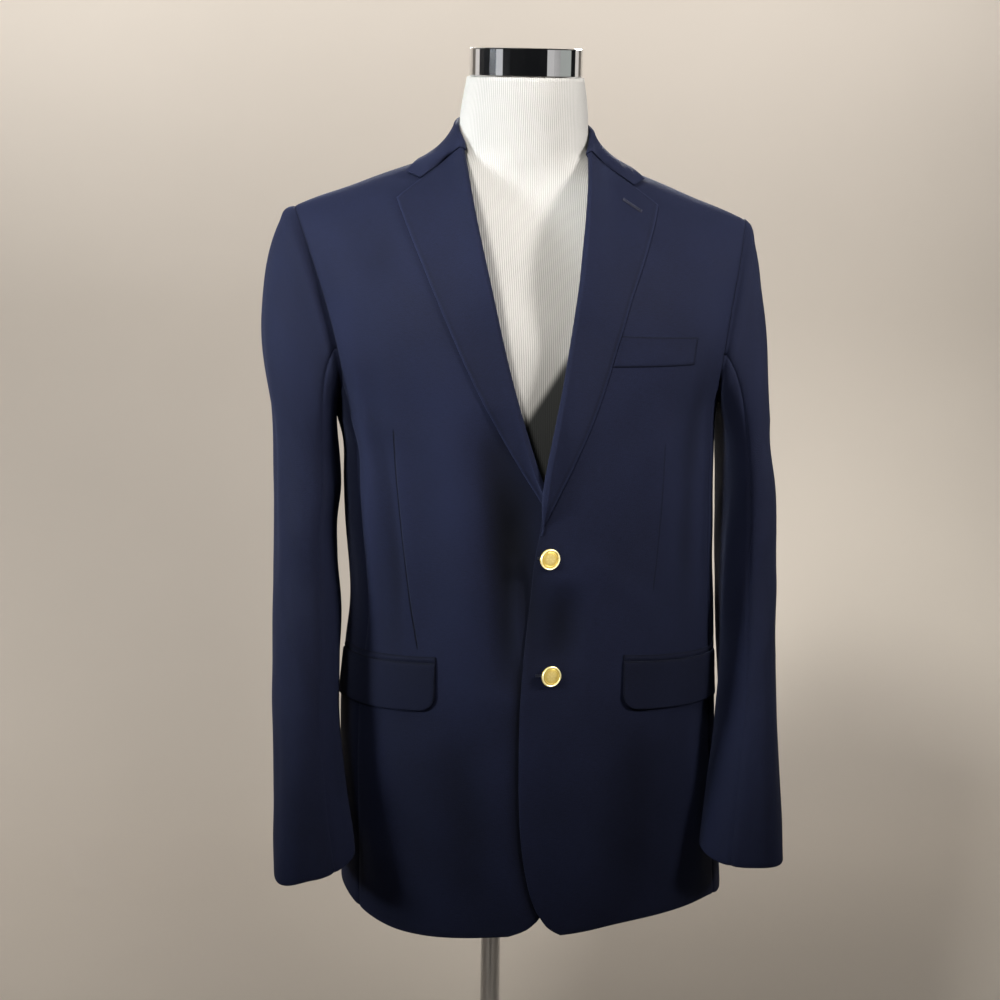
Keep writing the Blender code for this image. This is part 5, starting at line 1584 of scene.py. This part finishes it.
FLOOR_FRONT = -6.0
FLOOR_BACK = 1.6              # where the floor starts to bend upwards
FLOOR_BEND = 1.0              # radius of that bend
BACKDROP_TOP = 6.0
STAGE_HALF = 7.0              # half width of floor and backdrop
STAGE_DARK = (0.62, 0.565, 0.50, 1.0)
STAGE_PALE = (0.70, 0.64, 0.57, 1.0)


def build_stage():
    """Level floor, a quarter circle (r sin(a), r - r cos(a)) and an upright wall, in two close
    colours mixed by broad noise, with a transparent back."""
    profile = [(FLOOR_FRONT, 0.0), (FLOOR_BACK, 0.0)]
    for turn in np.radians(np.linspace(10, 90, 12)):
        profile.append((FLOOR_BACK + FLOOR_BEND * np.sin(turn), FLOOR_BEND - FLOOR_BEND * np.cos(turn)))
    profile.append((FLOOR_BACK + FLOOR_BEND, BACKDROP_TOP))
    points = [(x, y, z) for y, z in profile for x in (-STAGE_HALF, STAGE_HALF)]
    faces = [(2 * i, 2 * i + 1, 2 * i + 3, 2 * i + 2) for i in range(len(profile) - 1)]
    mesh = bpy.data.meshes.new("floor_and_backdrop")
    mesh.from_pydata(points, [], faces)
    mesh.shade_smooth()
    material, tree, shader = new_material("backdrop", (0.66, 0.60, 0.53, 1.0), Roughness=0.9,
                                          Specular_IOR_Level=0.1)
    vector = add(tree, "TexCoord", output=3)
    patch = add(tree, "TexNoise", vector, None, 1.4, 3.0, 0.5)
    plug(shader, "Base Color", patch.mix(STAGE_DARK, STAGE_PALE))
    behind = add(tree, "NewGeometry", output=6)
    clear = add(tree, "BsdfTransparent")
    seen = add(tree, "MixShader", behind, Socket(tree, shader.outputs[0]), clear)
    tree.links.new(seen.output, tree.nodes["Material Output"].inputs["Surface"])
    mesh.materials.append(material)
    stage = bpy.data.objects.new("floor_and_backdrop", mesh)
    bpy.context.scene.collection.objects.link(stage)


def area_light(name, place, aim, size, power, colour, spread):
    """Rectangular light at a place, turned to face a point, that the camera itself doesn't see."""
    light = bpy.data.lights.new(name, "AREA")
    light.shape = "RECTANGLE"
    light.size, light.size_y = size
    light.energy = power
    light.color = colour
    light.spread = np.radians(spread)
    lamp = bpy.data.objects.new(name, light)
    lamp.location = place
    lamp.visible_camera = False
    lamp.rotation_euler = (Vector(aim) - Vector(place)).to_track_quat("-Z", "Y").to_euler()
    bpy.context.scene.collection.objects.link(lamp)


build_stage()
WHOLE = 180.0                 # spread of a light that isn't narrowed
LIGHTS = {
    # name: place, point it faces, width and height, watts, colour, spread in degrees
    "light_key": ((-0.95, -1.95, 2.75), (-0.05, -0.05, 1.52), (0.4, 0.4), 3.5, (1.0, 0.98, 0.92), 30.0),
    "light_left": ((-2.2, -0.7, 1.9), (-0.26, 0.0, 1.36), (0.6, 0.8), 5.6, (0.90, 0.96, 1.0), 28.0),
    "light_right": ((2.0, -1.5, 2.5), (0.19, 0.0, 1.40), (0.5, 0.6), 4.8, (1.0, 0.97, 0.93), 30.0),
    "light_above": ((-0.1, -0.55, 3.2), (0.0, -0.05, 1.5), (0.7, 0.6), 1.0, (1.0, 0.99, 0.97), 50.0),
    "light_panel_left": ((-1.85, -1.2, 1.6), (0.0, 0.0, 1.6), (0.75, 1.3), 1.7, (0.97, 0.98, 1.0), WHOLE),
    "light_panel_right": ((1.69, -1.41, 1.6), (0.0, 0.0, 1.6), (0.75, 1.3), 1.7, (1.0, 0.98, 0.96), WHOLE),
    "light_side_left": ((-2.65, 1.4, 1.6), (0.0, 0.0, 1.5), (1.0, 1.6), 3.6, (1.0, 0.95, 0.90), WHOLE),
    "light_side_right": ((2.98, -0.3, 1.6), (0.0, 0.0, 1.5), (1.3, 1.6), 2.6, (0.95, 1.0, 0.94), WHOLE),
    "light_side_back": ((2.6, 1.5, 1.6), (0.0, 0.0, 1.5), (0.9, 1.6), 3.0, (1.0, 0.94, 0.88), WHOLE),
    "light_back": ((0.4, 2.3, 2.1), (0.0, 0.1, 1.25), (0.8, 0.5), 5.0, (1.0, 0.99, 0.97), 44.0),
    "light_behind": ((0.0, 0.9, 3.1), (0.0, 2.5, 1.8), (3.0, 0.6), 20.0, (1.0, 0.98, 0.96), 120.0),
    "light_wall_left": ((-1.6, 0.9, 2.6), (-0.8, 2.6, 2.1), (1.0, 0.8), 11.5, (1.0, 0.99, 0.97), 110.0),
    "light_wall_right": ((1.6, 0.9, 2.6), (0.8, 2.6, 1.7), (1.0, 0.8), 9.0, (1.0, 0.97, 0.94), 110.0)}
for label, setting in LIGHTS.items():
    area_light(label, *setting)

# The world gives the part hardly any light, but the camera sees it as a bluish grey.
WORLD_LIGHT = 0.010
WORLD_SEEN = 0.45
world = bpy.data.worlds.new("studio")
world.use_nodes = True
world.node_tree.nodes["Background"].inputs["Color"].default_value = (0.82, 0.86, 0.95, 1.0)
glow = add(world.node_tree, "LightPath", output=0) * WORLD_SEEN + WORLD_LIGHT
world.node_tree.links.new(glow.output, world.node_tree.nodes["Background"].inputs["Strength"])
bpy.context.scene.world = world
bpy.context.scene.view_settings.view_transform = "Standard"

# The camera stands in front, six degrees to the wearer's right, and looks a little down.
PICTURE = 1000.0              # width of the picture in pixels
FOCAL_PIXELS = 1827.0
SENSOR = 36.0                 # millimetres
AXIS = Vector((0.002, 0.0, 1.60))   # point that the camera goes round, at its own height
AWAY = 1.87                   # its distance from there
DOWN = np.radians(13.5)
ROUND = np.radians(6.0)
ROLL = np.radians(1.0)

level = Vector((np.sin(ROUND), np.cos(ROUND), 0.0))
ahead = level * np.cos(DOWN) + Vector((0.0, 0.0, -1.0)) * np.sin(DOWN)
right = Vector((np.cos(ROUND), -np.sin(ROUND), 0.0))
above = right.cross(ahead)
rolled_right = right * np.cos(ROLL) + above * np.sin(ROLL)
rolled_above = above * np.cos(ROLL) - right * np.sin(ROLL)
camera = bpy.data.objects.new("camera", bpy.data.cameras.new("camera"))
bpy.context.scene.collection.objects.link(camera)
camera.data.lens = SENSOR * FOCAL_PIXELS / PICTURE
camera.data.clip_end = 50.0
turned = Matrix((rolled_right, rolled_above, -ahead)).transposed().to_4x4()
camera.matrix_world = Matrix.Translation(AXIS - level * AWAY) @ turned
bpy.context.scene.camera = camera
